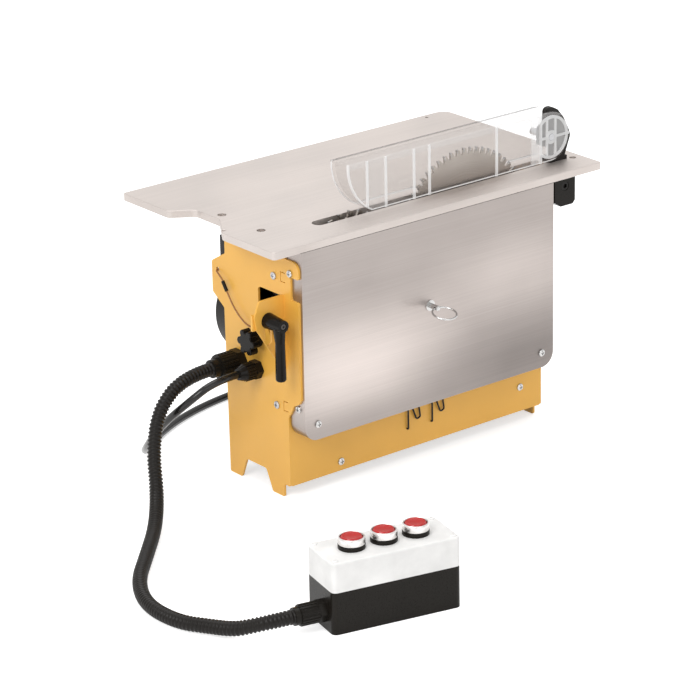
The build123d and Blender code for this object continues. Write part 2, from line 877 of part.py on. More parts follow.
# Carriage plate, bearing housings, bearings
with BuildPart() as carriage_plate:
    block(plate_left, plate_right, plate_front, plate_back, plate_bottom, plate_top)
    fillet(carriage_plate.edges().filter_by(Axis.Y), 8)
    barrel(main_x, main_z, bearing_outer + 4.0, plate_front, plate_back, mode=Mode.SUBTRACT)
    barrel(scoring_x, scoring_z, bearing_outer + 4.0, plate_front, plate_back, mode=Mode.SUBTRACT)
    barrel(motor_x, motor_z, 20.0, plate_front, plate_back, mode=Mode.SUBTRACT)
    block(-10.0, plate_right - 30.0, plate_front, plate_back, 90.0, 190.0, mode=Mode.SUBTRACT)
keep(carriage_plate.part, "carriage_plate")

arbors = [(main_x, main_z), (scoring_x, scoring_z)]
with BuildPart() as bearing_housings:
    for x, z in arbors:
        barrel(x, z, bearing_outer + 4.0, plate_front, plate_back)
        barrel(x, z, housing_radius + 6.0, plate_back, plate_back + 6.0)
        barrel(x, z, housing_radius, plate_back, plate_front + housing_depth)
        barrel(x, z, bearing_outer, plate_front, plate_front + housing_depth, mode=Mode.SUBTRACT)
keep(bearing_housings.part, "bearing_housings")

bearing_starts = [plate_front, plate_front + housing_depth - bearing_width]
with BuildPart() as arbor_bearings:
    for x, z in arbors:
        for start in bearing_starts:
            barrel(x, z, bearing_outer - press_gap, start, start + bearing_width)
            barrel(x, z, bearing_bore + shaft_fit, start, start + bearing_width, mode=Mode.SUBTRACT)
keep(arbor_bearings.part, "arbor_bearings")

# Spindles: arbor, pulley, flanges with nut, blade
pulley_back = plate_front - pulley_gap
pulley_front = pulley_back - pulley_width
arbor_rear = plate_front + housing_depth + 2.0


def build_arbor(x, z, kerf):
    """Make one arbor, from behind its rear bearing to the end of its nut."""
    blade_back = blade_y + kerf / 2
    arbor_front = blade_y - kerf / 2 - flange_thickness - nut_height - 1.0
    with BuildPart() as arbor:
        barrel(x, z, bearing_bore, arbor_front, arbor_rear)
        barrel(x, z, blade_bore, blade_y - kerf / 2, blade_back)
    return arbor.part


def build_pulley(x, z, radius, bore):
    """Make one belt pulley with a lip on each side of the belt."""
    lip = (pulley_width - belt_width) / 2 - 0.5
    with BuildPart() as pulley:
        barrel(x, z, radius, pulley_front, pulley_back)
        barrel(x, z, radius + pulley_lip, pulley_front, pulley_front + lip)
        barrel(x, z, radius + pulley_lip, pulley_back - lip, pulley_back)
        barrel(x, z, bore, pulley_front, pulley_back, mode=Mode.SUBTRACT)
    return pulley.part


def build_clamps(x, z, radius, kerf):
    """Make the inner flange, the outer flange and the nut that clamp one blade."""
    blade_back = blade_y + kerf / 2
    blade_front = blade_y - kerf / 2
    nut_front = blade_front - flange_thickness - nut_height
    with BuildPart() as clamps:
        barrel(x, z, radius, blade_back, pulley_front)
        barrel(x, z, radius, blade_front - flange_thickness, blade_front)
        with BuildSketch(front_plane(blade_front - flange_thickness)):
            with Locations((x, z)):
                RegularPolygon(nut_across / 2, 6, major_radius=False)
        extrude(amount=nut_height)
        barrel(x, z, bearing_bore, nut_front, pulley_front, mode=Mode.SUBTRACT)
    return clamps.part


def build_blade(x, z, radius, teeth, depth, kerf):
    """Make one saw blade with its teeth and its bore."""
    with BuildPart() as blade:
        with BuildSketch(Plane((x, blade_y + kerf / 2, z), x_dir=(1, 0, 0), z_dir=(0, -1, 0))):
            with BuildLine():
                Polyline(*tooth_ring(radius, teeth, depth), close=True)
            make_face()
            Circle(blade_bore, mode=Mode.SUBTRACT)
        extrude(amount=kerf)
    return blade.part


keep(build_arbor(main_x, main_z, main_kerf), "main_arbor")
keep(build_pulley(main_x, main_z, main_pulley_radius, bearing_bore), "main_pulley")
keep(build_clamps(main_x, main_z, main_flange_radius, main_kerf), "main_flanges")
keep(build_blade(main_x, main_z, main_radius, main_teeth, 7.5, main_kerf), "main_blade")
keep(build_arbor(scoring_x, scoring_z, scoring_kerf), "scoring_arbor")
keep(build_pulley(scoring_x, scoring_z, scoring_pulley_radius, bearing_bore), "scoring_pulley")
keep(build_clamps(scoring_x, scoring_z, scoring_flange_radius, scoring_kerf), "scoring_flanges")
keep(build_blade(scoring_x, scoring_z, scoring_radius, scoring_teeth, 8.0, scoring_kerf), "scoring_blade")

# Motor: housing on the back of the carriage plate, end cap with a wider cowl, stator, rotor, pulley
motor_back = plate_back + motor_length
shaft_end = motor_back + end_cap_depth - end_cap_wall
with BuildPart() as motor_housing:
    barrel(motor_x, motor_z, motor_radius, plate_back, motor_back)
    barrel(
        motor_x, motor_z, motor_radius - motor_wall,
        plate_back + motor_face, motor_back, mode=Mode.SUBTRACT,
    )
    barrel(
        motor_x, motor_z, motor_shaft_radius + shaft_fit,
        plate_back, plate_back + motor_face, mode=Mode.SUBTRACT,
    )
keep(motor_housing.part, "motor_housing")

with BuildPart() as motor_end_cap:
    barrel(motor_x, motor_z, motor_radius + cowl_flare, motor_back, motor_back + end_cap_depth)
    fillet(motor_end_cap.edges().filter_by(GeomType.CIRCLE).sort_by(Axis.Y)[-1], cowl_round)
    barrel(
        motor_x, motor_z, motor_shaft_radius + shaft_fit,
        motor_back, shaft_end, mode=Mode.SUBTRACT,
    )
    with BuildSketch(front_plane(motor_back + end_cap_depth)):
        with Locations((motor_x, motor_z)):
            with PolarLocations(cowl_slot_radius, cowl_slots):
                SlotOverall(cowl_slot_length, cowl_slot_width)
    extrude(amount=cowl_slot_depth, mode=Mode.SUBTRACT)
keep(motor_end_cap.part, "motor_end_cap")

stator_start = plate_back + motor_face + 18.0
stator_end = stator_start + stator_length
with BuildPart() as motor_stator:
    barrel(motor_x, motor_z, motor_radius - motor_wall - press_gap, stator_start, stator_end)
    barrel(motor_x, motor_z, rotor_radius + air_gap, stator_start, stator_end, mode=Mode.SUBTRACT)
keep(motor_stator.part, "motor_stator")

with BuildPart() as motor_rotor:
    barrel(motor_x, motor_z, motor_shaft_radius, pulley_front - 1.0, shaft_end - 1.0)
    barrel(motor_x, motor_z, rotor_radius, stator_start, stator_end)
keep(motor_rotor.part, "motor_rotor")
keep(build_pulley(motor_x, motor_z, motor_pulley_radius, motor_shaft_radius), "motor_pulley")

# Drive belt round the three pulleys
belt_front = (pulley_front + pulley_back - belt_width) / 2
belt_wraps = [
    (main_x, main_z, main_pulley_radius + belt_fit),
    (scoring_x, scoring_z, scoring_pulley_radius + belt_fit),
    (motor_x, motor_z, motor_pulley_radius + belt_fit),
]
with BuildPart() as drive_belt:
    with BuildSketch(front_plane(belt_front + belt_width)):
        for x, z, radius in belt_wraps:
            with Locations((x, z)):
                Circle(radius + belt_thickness)
        make_hull()
    extrude(amount=belt_width)
    with BuildSketch(front_plane(belt_front + belt_width)):
        for x, z, radius in belt_wraps:
            with Locations((x, z)):
                Circle(radius)
        make_hull()
    extrude(amount=belt_width, mode=Mode.SUBTRACT)
keep(drive_belt.part, "drive_belt")

# Guide rods, their brackets on the rear panel, and the slide bushes on the carriage
rods = [rod_left_x, rod_right_x]
rod_bottom = 22.0
rod_top = table_underside - sheet - 0.5
bracket_height = 12.0
bracket_half = 11.0
bracket_levels = [rod_bottom, rod_top - bracket_height]
with BuildPart() as guide_rods:
    for x in rods:
        post(x, rod_y, rod_radius, rod_bottom, rod_top)
keep(guide_rods.part, "guide_rods")

with BuildPart() as rod_brackets:
    for x in rods:
        for level in bracket_levels:
            block(
                x - bracket_half, x + bracket_half,
                rod_y - bracket_half, y_rear - sheet,
                level, level + bracket_height,
            )
            post(x, rod_y, rod_radius, level, level + bracket_height, mode=Mode.SUBTRACT)
keep(rod_brackets.part, "rod_brackets")

bush_half = 10.0
bush_height = 26.0
bush_levels = [plate_bottom + 2.0, plate_top - bush_height - 17.0]
with BuildPart() as slide_bushes:
    for x in rods:
        for level in bush_levels:
            block(x - bush_half, x + bush_half, plate_back, rod_y + bush_half, level, level + bush_height)
            post(x, rod_y, rod_radius + slide_fit, level, level + bush_height, mode=Mode.SUBTRACT)
keep(slide_bushes.part, "slide_bushes")

# Clamp arm: from the carriage through the window to the back of the flap
arm_front = flap_back + arm_fit
arm_back = arm_front + arm_thickness
arm_bottom = lever_z - arm_height / 2
arm_top = lever_z + arm_height / 2
with BuildPart() as clamp_arm:
    block(x_left - flap_reach - 1.0, plate_left + 3.0, arm_front, arm_back, arm_bottom, arm_top)
    block(plate_left, plate_left + 3.0, arm_front, plate_front, arm_bottom, arm_top)
    block(plate_left, plate_left + 20.0, plate_front - 3.0, plate_front, arm_bottom, arm_top)
    barrel(lever_x, lever_z, stud_radius + shaft_fit, arm_front, arm_back, mode=Mode.SUBTRACT)
keep(clamp_arm.part, "clamp_arm")

# Clamp lever: hub on the flap, boss in front, tapered handle hanging down
hub_back = flap_front - arm_fit
hub_front = hub_back - lever_hub
handle_y = hub_front + 7.0
with BuildPart() as clamp_lever:
    with BuildSketch(front_plane(hub_back)):
        with Locations((lever_x, lever_z)):
            Circle(lever_root)
    with BuildSketch(front_plane(hub_front)):
        with Locations((lever_x, lever_z)):
            Circle(lever_nose)
    loft()
    with BuildSketch(Plane.XY.offset(lever_z + 2.0)):
        with Locations((lever_x, handle_y + 2.0)):
            Ellipse(*lever_boss)
    with BuildSketch(Plane.XY.offset(lever_z - lever_neck_drop)):
        with Locations((lever_x, handle_y)):
            Circle(lever_neck)
    loft()
    with BuildSketch(Plane.XY.offset(lever_z - lever_neck_drop)):
        with Locations((lever_x, handle_y)):
            Circle(lever_neck)
    with BuildSketch(Plane.XY.offset(lever_z - lever_drop)):
        with Locations((lever_x, handle_y)):
            Circle(lever_tip)
    loft()
    fillet(clamp_lever.faces().sort_by(Axis.Z)[0].edges(), lever_round)
    barrel(lever_x, lever_z, stud_radius, hub_front + stud_cover, hub_back, mode=Mode.SUBTRACT)
    barrel(
        lever_x, lever_z, lever_recess, hub_front, hub_front + lever_recess_depth, mode=Mode.SUBTRACT
    )
keep(clamp_lever.part, "clamp_lever")

with BuildPart() as lever_stud:
    barrel(lever_x, lever_z, stud_radius, hub_front + stud_cover, arm_back + 1.0)
    barrel(lever_x, lever_z, stud_head, arm_back + shaft_fit, arm_back + stud_head_depth)
keep(lever_stud.part, "lever_stud")

# Lift knob: star knob, pinion shaft, rack on the carriage
knob_back = x_left - knob_stand
knob_front = knob_back - knob_depth
with BuildPart() as star_knob:
    with BuildSketch(side_plane(knob_front)):
        with Locations((knob_y, knob_z)):
            Circle(knob_radius - knob_lobe)
            with PolarLocations(knob_radius - knob_lobe, knob_lobes):
                Circle(knob_lobe)
    extrude(amount=knob_depth)
    fillet(star_knob.faces().sort_by(Axis.X)[0].edges(), 1.2)
    bar(knob_y, knob_z, knob_hub, knob_back, x_left - 0.5)
    bar(knob_y, knob_z, knob_shaft_radius, knob_front + knob_shaft_cover, x_left, mode=Mode.SUBTRACT)
keep(star_knob.part, "star_knob")

pinion_left = inner_left + rack_inset - 2.0
pinion_right = pinion_left + pinion_width
with BuildPart() as pinion_shaft:
    bar(knob_y, knob_z, knob_shaft_radius, knob_front + knob_shaft_cover, pinion_right)
    with BuildSketch(side_plane(pinion_left)):
        with Locations((knob_y, knob_z)):
            Circle(pitch_radius - 1.2 * tooth_module)
            with PolarLocations(pitch_radius - 0.2 * tooth_module, pinion_teeth):
                Trapezoid(2.1 * tooth_module, 2.2 * tooth_module, flank_angle, rotation=-90)
    extrude(amount=pinion_width)
keep(pinion_shaft.part, "pinion_shaft")

rack_pitch = pi * tooth_module
rack_low = knob_z - 20.0
rack_high = knob_z + 36.0
rack_first = -6
rack_last = 11
with BuildPart() as lift_rack:
    block(
        pinion_left + 1.0, pinion_right - 1.0,
        rack_pitch_y - 10.0, rack_pitch_y - 1.2 * tooth_module,
        rack_low, rack_high,
    )
    with BuildSketch(side_plane(pinion_left + 1.0)):
        for tooth in range(rack_first, rack_last):
            with Locations((rack_pitch_y - 0.3 * tooth_module, knob_z + (tooth + 0.5) * rack_pitch)):
                Trapezoid(2.1 * tooth_module, 1.9 * tooth_module, flank_angle, rotation=-90)
    extrude(amount=pinion_width - 2.0)
    block(
        pinion_right - 1.0, plate_left + 12.0,
        rack_pitch_y - 10.0, rack_pitch_y - 2.0,
        rack_low, arm_bottom - 4.0,
    )
    block(
        plate_left, plate_left + 12.0,
        rack_pitch_y - 2.0, plate_front,
        rack_low, arm_bottom - 4.0,
    )
keep(lift_rack.part, "lift_rack")

# Glands on the left panel
conduit_start = x_left - conduit_gland_reach
with BuildPart() as conduit_gland:
    with BuildSketch(side_plane(x_left)):
        with Locations((conduit_gland_y, gland_z)):
            RegularPolygon(conduit_gland_radius, 6)
    extrude(amount=-conduit_nut)
    bar(
        conduit_gland_y, gland_z, conduit_gland_radius - gland_step,
        x_left - conduit_nut, x_left - conduit_grip_end,
    )
    bar(conduit_gland_y, gland_z, conduit_radius + 2.5, x_left - conduit_grip_end, conduit_start)
    bar(
        conduit_gland_y, gland_z, conduit_gland_radius * gland_thread_share,
        x_left, inner_left + gland_thread,
    )
    bar(conduit_gland_y, gland_z, conduit_bore, conduit_start, inner_left + gland_thread, mode=Mode.SUBTRACT)
keep(conduit_gland.part, "conduit_gland")

lead_start = x_left - lead_gland_reach
with BuildPart() as lead_gland:
    with BuildSketch(side_plane(x_left)):
        with Locations((lead_gland_y, gland_z)):
            RegularPolygon(lead_gland_radius, 6)
    extrude(amount=-lead_nut)
    bar(lead_gland_y, gland_z, lead_gland_radius - gland_step, x_left - lead_nut, x_left - lead_grip_end)
    with BuildSketch(side_plane(x_left - lead_grip_end)):
        with Locations((lead_gland_y, gland_z)):
            Circle(lead_gland_radius - gland_step)
    with BuildSketch(side_plane(lead_start)):
        with Locations((lead_gland_y, gland_z)):
            Circle(lead_radius + 2.2)
    loft()
    bar(lead_gland_y, gland_z, lead_gland_radius * gland_thread_share, x_left, inner_left + gland_thread)
    bar(lead_gland_y, gland_z, lead_radius - 0.25, lead_start, inner_left + gland_thread, mode=Mode.SUBTRACT)
keep(lead_gland.part, "lead_gland")

# Control box: base, lid, screws, gland, push-buttons
screw_inset = 6.0
screw_post = 4.0
lid_screw_radius = 1.5
lid_screw_bite = 8.0
lid_screw_head = 1.6
lid_screws = [
    (along, across)
    for along in (screw_inset, box_length - screw_inset)
    for across in (screw_inset, box_depth - screw_inset)
]
with BuildPart() as box_base:
    with BuildSketch(box_plane(0)):
        with Locations((box_length / 2, box_depth / 2)):
            RectangleRounded(box_length, box_depth, box_round)
    extrude(amount=box_base_height)
    with BuildSketch(box_plane(box_wall)):
        with Locations((box_length / 2, box_depth / 2)):
            RectangleRounded(box_length - 2 * box_wall, box_depth - 2 * box_wall, box_round - box_wall)
    extrude(amount=box_base_height, mode=Mode.SUBTRACT)
    with BuildSketch(box_plane(box_wall)):
        with Locations(*lid_screws):
            Circle(screw_post)
    extrude(amount=box_base_height - box_wall)
    with BuildSketch(box_plane(box_base_height)):
        with Locations(*lid_screws):
            Circle(lid_screw_radius)
    extrude(amount=-lid_screw_bite, mode=Mode.SUBTRACT)
    with BuildSketch(Plane(box_place(0, box_gland_y, box_gland_z), z_dir=box_plane(0).x_dir)):
        Circle(8.0)
    extrude(amount=box_wall, mode=Mode.SUBTRACT)
keep(box_base.part, "box_base")

buttons = [box_length / 2 + step * button_pitch for step in (-1, 0, 1)]
with BuildPart() as box_lid:
    with BuildSketch(box_plane(box_base_height)):
        with Locations((box_length / 2, box_depth / 2)):
            RectangleRounded(box_length, box_depth, box_round)
    extrude(amount=box_lid_height)
    fillet(box_lid.faces().sort_by(Axis.Z)[-1].edges(), 2.0)
    with BuildSketch(box_plane(box_base_height)):
        with Locations((box_length / 2, box_depth / 2)):
            RectangleRounded(box_length - 2 * box_wall, box_depth - 2 * box_wall, box_round - box_wall)
    extrude(amount=box_lid_height - box_wall, mode=Mode.SUBTRACT)
    with BuildSketch(box_plane(box_height)):
        with Locations(*[(along, box_depth / 2) for along in buttons]):
            Circle(button_hole)
    extrude(amount=-box_wall, mode=Mode.SUBTRACT)
    with BuildSketch(box_plane(box_base_height)):
        with Locations(*lid_screws):
            Circle(screw_post)
    extrude(amount=box_lid_height - box_wall)
    with BuildSketch(box_plane(box_base_height)):
        with Locations(*lid_screws):
            Circle(lid_screw_radius + screw_fit)
    extrude(amount=box_lid_height, mode=Mode.SUBTRACT)
keep(box_lid.part, "box_lid")

with BuildPart() as box_screws:
    with BuildSketch(box_plane(box_height)):
        with Locations(*lid_screws):
            Circle(2 * lid_screw_radius)
    extrude(amount=lid_screw_head)
    with BuildSketch(box_plane(box_height)):
        with Locations(*lid_screws):
            Circle(lid_screw_radius)
    extrude(amount=-(box_lid_height + lid_screw_bite))
keep(box_screws.part, "box_screws")

with BuildPart() as contact_blocks:
    with BuildSketch(box_plane(box_height + collar_height - 0.5)):
        with Locations(*[(along, box_depth / 2) for along in buttons]):
            Circle(button_hole - 0.1)
    extrude(amount=-(collar_height + 22.0))
    with BuildSketch(box_plane(box_height - 21.5)):
        with Locations(*[(along, box_depth / 2) for along in buttons]):
            Rectangle(28.0, 38.0)
    extrude(amount=-26.0)
    with BuildSketch(box_plane(box_height - 8.0)):
        with Locations(*[(along, box_depth / 2) for along in buttons]):
            Circle(5.5)
    extrude(amount=20.0, mode=Mode.SUBTRACT)
keep(contact_blocks.part, "contact_blocks")

with BuildPart() as button_collars:
    with BuildSketch(box_plane(box_height)):
        with Locations(*[(along, box_depth / 2) for along in buttons]):
            Circle(collar_radius)
            Circle(button_hole, mode=Mode.SUBTRACT)
    extrude(amount=collar_height)
keep(button_collars.part, "button_collars")

bezel_top = box_height + collar_height + bezel_height
with BuildPart() as button_bezels:
    with BuildSketch(box_plane(box_height + collar_height)):
        with Locations(*[(along, box_depth / 2) for along in buttons]):
            Circle(bezel_radius)
            Circle(button_radius + button_fit, mode=Mode.SUBTRACT)
    extrude(amount=bezel_height)
keep(button_bezels.part, "button_bezels")

button_names = ["left_button", "middle_button", "right_button"]
for along, name in zip(buttons, button_names):
    with BuildPart() as button:
        with BuildSketch(box_plane(bezel_top + 1.0)):
            with Locations((along, box_depth / 2)):
                Circle(button_radius)
        extrude(amount=-(bezel_height - button_travel - 1.0))
        fillet(button.faces().sort_by(Axis.Z)[-1].edges(), 0.8)
        with BuildSketch(box_plane(bezel_top - 2.0)):
            with Locations((along, box_depth / 2)):
                Circle(5.2)
        extrude(amount=-(bezel_height + 3.0))
    keep(button.part, name)

gland_axis = box_plane(0).x_dir
with BuildPart() as box_gland:
    with BuildSketch(Plane(box_place(0, box_gland_y, box_gland_z), z_dir=-gland_axis)):
        RegularPolygon(box_gland_radius, 6)
    extrude(amount=8.0)
    with BuildSketch(Plane(box_place(-8.0, box_gland_y, box_gland_z), z_dir=-gland_axis)):
        Circle(box_gland_radius - 1.2)
    extrude(amount=20.0)
    with BuildSketch(Plane(box_place(-28.0, box_gland_y, box_gland_z), z_dir=-gland_axis)):
        Circle(conduit_radius + 1.6)
    extrude(amount=box_gland_reach - 28.0)
    with BuildSketch(Plane(box_place(0, box_gland_y, box_gland_z), z_dir=gland_axis)):
        Circle(8.0)
    extrude(amount=box_wall + 5.0)
    with BuildSketch(Plane(box_place(10.0, box_gland_y, box_gland_z), z_dir=-gland_axis)):
        Circle(conduit_bore)
    extrude(amount=box_gland_reach + 12.0, mode=Mode.SUBTRACT)
keep(box_gland.part, "box_gland")

# Control conduit: out of the panel, down to the floor, round to the control box
floor_gap = 0.1
conduit_floor = conduit_radius + floor_gap
conduit_route = [
    (conduit_start, conduit_gland_y, gland_z),
    (-262.0, conduit_gland_y, gland_z),
    (-298.0, 27.0, 112.0),
    (-313.0, 19.0, 70.0),
    (-323.0, 0.0, 30.0),
    (-352.0, -36.0, 10.0),
    (-402.0, -88.0, conduit_floor),
    (-446.0, -134.0, conduit_floor),
    (-472.0, -186.0, conduit_floor),
    (-471.0, -238.0, conduit_floor),
    (-454.0, -268.0, 8.6),
    (-443.5, -296.0, 12.0),
    (-432.0, -310.0, 17.0),
    box_place(-box_gland_reach - 26.0, box_gland_y, box_gland_z),
    box_place(-box_gland_reach, box_gland_y, box_gland_z),
]
conduit_radii = route_radii(conduit_route)
rib_profile = ((0.05, conduit_root), (0.35, conduit_root), (0.5, conduit_radius), (0.9, conduit_radius))
with BuildPart() as control_conduit:
    with BuildLine():
        conduit_path = FilletPolyline(*conduit_route, radius=conduit_radii)
    stretches = round(conduit_path.length / conduit_rib_pitch / stretch_ribs)
    ribs = stretches * stretch_ribs
    for first in range(0, ribs, stretch_ribs):
        stations = [(first, conduit_radius)]
        for rib in range(first, first + stretch_ribs):
            stations += [(rib + share, radius) for share, radius in rib_profile]
        stations.append((first + stretch_ribs, conduit_radius))
        for station, radius in stations:
            along = conduit_path % (station / ribs)
            across = Vector(0, 0, 1) - along * along.Z
            with BuildSketch(Plane(origin=conduit_path @ (station / ribs), x_dir=across, z_dir=along)):
                Circle(radius)
        loft(ruled=True, clean=False)
    with BuildSketch(Plane(origin=conduit_path @ 0, z_dir=conduit_path % 0)):
        Circle(conduit_bore)
    sweep(path=conduit_path, mode=Mode.SUBTRACT, clean=False)
keep(control_conduit.part, "control_conduit")
conduit_solid = pi * (conduit_radius**2 - conduit_bore**2) * conduit_path.length
print("conduit length", round(conduit_path.length, 1), "ribs", ribs)
print("conduit radii", [round(radius) for radius in conduit_radii])
print("conduit volume against a plain tube", round(control_conduit.part.volume / conduit_solid, 3))

# Mains lead: out of the panel, down behind the machine to its coil
lead_floor = lead_radius + floor_gap
coil_x, coil_y = coil_centre
coil_rear = coil_y + coil_outer
lead_route = [
    (lead_start, lead_gland_y, gland_z),
    (-244.0, lead_gland_y, gland_z),
    (-272.0, 6.0, 120.0),
    (-281.0, 36.0, 92.0),
    (-275.0, 74.0, 58.0),
    (-259.0, 112.0, 28.0),
    (-234.0, 148.0, 8.0),
    (-192.0, 182.0, lead_floor),
    (-140.0, 209.0, lead_floor),
    (-80.0, 226.0, lead_floor),
    (coil_x - 58.0, coil_rear, lead_floor),
    (coil_x, coil_rear, lead_floor),
]
lead_radii = route_radii(lead_route)
with BuildPart() as mains_lead:
    with BuildLine():
        lead_path = FilletPolyline(*lead_route, radius=lead_radii)
    with BuildSketch(Plane(origin=lead_path @ 0, z_dir=lead_path % 0)):
        Circle(lead_radius)
    sweep(path=lead_path)
keep(mains_lead.part, "mains_lead")
lead_solid = pi * lead_radius**2 * lead_path.length
print("lead length", round(lead_path.length, 1), "radii", [round(radius) for radius in lead_radii])
print("lead volume against a plain tube", round(mains_lead.part.volume / lead_solid, 3))

# Lead coil: winds inwards on the floor, climbs in one half turn, winds outwards on top
coil_top = lead_floor + coil_lift
inward = [coil_outer - step * coil_step for step in range(coil_half_turns)]
climb_radius = coil_outer - coil_half_turns * coil_step
outward = [climb_radius + step * coil_step for step in range(1, coil_half_turns)]
half_turns = [(radius, lead_floor, lead_floor) for radius in inward]
half_turns.append((climb_radius, lead_floor, coil_top))
half_turns += [(radius, coil_top, coil_top) for radius in outward]
coil_points = []
with BuildPart() as lead_coil:
    with BuildLine() as coil_line:
        y = coil_rear
        side = 1
        for radius, low, high in half_turns:
            middle_y = y - side * radius
            bulge = hypot(radius, (high - low) / 2)
            turn = ThreePointArc(
                (coil_x, y, low),
                (coil_x + side * bulge, middle_y, (low + high) / 2),
                (coil_x, y - 2 * side * radius, high),
            )
            coil_points.append([turn @ (step / 24) for step in range(25)])
            y -= 2 * side * radius
            side = -side
        Line((coil_x, y, coil_top), (coil_x + coil_tail, y, coil_top))
    with BuildSketch(Plane(origin=(coil_x, coil_rear, lead_floor), z_dir=(1, 0, 0))):
        Circle(lead_radius)
    sweep(path=coil_line.wires()[0])
keep(lead_coil.part, "lead_coil")
plug_y = y
coil_length = sum(wire.length for wire in coil_line.wires())
coil_gaps = [
    (one - other).length - 2 * lead_radius
    for first, turn in enumerate(coil_points)
    for later in coil_points[first + 2:]
    for one in turn
    for other in later
]
print("coil length", round(coil_length, 1), "least gap", round(min(coil_gaps), 2))
print("coil volume against a plain tube", round(lead_coil.part.volume / (pi * lead_radius**2 * coil_length), 3))

# Mains plug: round moulded plug with a tapered neck and two pins, lying beside the coil
plug_start = coil_x + coil_tail
plug_radius = coil_top - floor_gap
plug_neck = 28.0
plug_body = 34.0
plug_pin = 19.0
pin_spacing = 19.0
with BuildPart() as mains_plug:
    with BuildSketch(side_plane(plug_start)):
        with Locations((plug_y, coil_top)):
            Circle(lead_radius + 1.5)
    with BuildSketch(side_plane(plug_start + plug_neck)):
        with Locations((plug_y, coil_top)):
            Circle(plug_radius - 4.0)
    loft()
    bar(plug_y, coil_top, plug_radius, plug_start + plug_neck, plug_start + plug_neck + plug_body)
    fillet(mains_plug.edges().filter_by(GeomType.CIRCLE).group_by(SortBy.RADIUS)[-1], 2.0)
    for half in (-0.5, 0.5):
        bar(
            plug_y + half * pin_spacing, coil_top, 2.4,
            plug_start + plug_neck + plug_body, plug_start + plug_neck + plug_body + plug_pin,
        )
keep(mains_plug.part, "mains_plug")

# Earth wire on the outside of the left panel, with an insulating sleeve
wire_stand = 5.0
earth_route = [
    (inner_left, *earth_holes[0]),
    (x_left - 4.0, 4.0, 186.8),
    (x_left - wire_stand, 11.0, 189.0),
    (x_left - wire_stand, 21.3, 194.0),
    (x_left - wire_stand, 32.0, 203.0),
    (x_left - wire_stand, 41.8, 215.6),
    (x_left - wire_stand, 51.4, 229.4),
    (x_left - 3.0, 64.6, 235.8),
    (inner_left, *earth_holes[1]),
]
sleeve_bend = 9.0
sleeve_ends = (4, 5)
earth_radii = [
    min(radius, sleeve_bend) if corner in sleeve_ends else radius
    for corner, radius in enumerate(route_radii(earth_route))
]
with BuildPart() as earth_wire:
    with BuildLine():
        earth_path = FilletPolyline(*earth_route, radius=earth_radii)
    with BuildSketch(Plane(origin=earth_path @ 0, z_dir=earth_path % 0)):
        Circle(earth_radius)
    sweep(path=earth_path)
keep(earth_wire.part, "earth_wire")
print("earth wire length", round(earth_path.length, 1), "radii", [round(radius, 1) for radius in earth_radii])

sleeve_length = 12.0
sleeve_fit = 0.06
sleeve_run = [Vector(*point) for point in earth_route[5:7]]
sleeve_middle = (sleeve_run[0] + sleeve_run[1]) / 2
sleeve_along = (sleeve_run[1] - sleeve_run[0]).normalized()
with BuildPart() as earth_sleeve:
    with BuildSketch(Plane(origin=sleeve_middle - sleeve_along * sleeve_length / 2, z_dir=sleeve_along)):
        Circle(earth_radius + 1.1)
        Circle(earth_radius + sleeve_fit, mode=Mode.SUBTRACT)
    extrude(amount=sleeve_length)
keep(earth_sleeve.part, "earth_sleeve")
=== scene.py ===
"""Double-blade table saw: finishes, cords, small fittings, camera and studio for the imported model."""

import logging
import math
from collections.abc import Sequence
from dataclasses import dataclass
from enum import Enum
from functools import cache
from typing import ClassVar

import bmesh
import bpy
from mathutils import Matrix, Vector

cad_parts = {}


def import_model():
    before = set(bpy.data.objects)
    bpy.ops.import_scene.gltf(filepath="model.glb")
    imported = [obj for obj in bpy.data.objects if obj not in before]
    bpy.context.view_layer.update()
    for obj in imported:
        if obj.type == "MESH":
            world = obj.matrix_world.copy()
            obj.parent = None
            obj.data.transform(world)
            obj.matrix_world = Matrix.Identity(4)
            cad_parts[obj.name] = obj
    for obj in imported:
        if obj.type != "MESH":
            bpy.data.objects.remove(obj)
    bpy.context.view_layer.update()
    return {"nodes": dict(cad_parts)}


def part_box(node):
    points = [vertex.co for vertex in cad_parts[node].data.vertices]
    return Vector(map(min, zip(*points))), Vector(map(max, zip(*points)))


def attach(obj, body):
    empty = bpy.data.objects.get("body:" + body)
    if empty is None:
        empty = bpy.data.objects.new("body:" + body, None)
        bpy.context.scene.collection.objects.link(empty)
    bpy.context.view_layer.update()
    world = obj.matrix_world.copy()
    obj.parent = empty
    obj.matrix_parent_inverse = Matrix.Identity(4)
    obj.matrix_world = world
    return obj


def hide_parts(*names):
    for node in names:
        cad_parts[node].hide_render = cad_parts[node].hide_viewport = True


Point = tuple[float, float, float]
Colour = tuple[float, float, float]
Span = tuple[float, float]
Seat = tuple[Point, Point]
Socket = bpy.types.NodeSocket
Inputs = dict[str | int, object]
Corners = list[bmesh.types.BMVert]

log = logging.getLogger("table_saw")
MM = 0.001
FULL_TURN = 2 * math.pi
UP: Point = (0, 0, 1)
# Most of a noise pattern lies between these values.
MIDDLE: Span = (0.3, 0.7)


def metres(point: Point) -> Vector:
    """Turn a point in millimetres into a vector in metres."""
    return Vector(point) * MM


def linear(red: int, green: int, blue: int) -> Colour:
    """Turn a screen colour, 0 to 255 each, into the linear values that shaders use."""
    shares = [value / 255 for value in (red, green, blue)]
    return tuple(s / 12.92 if s <= 0.04045 else ((s + 0.055) / 1.055) ** 2.4 for s in shares)


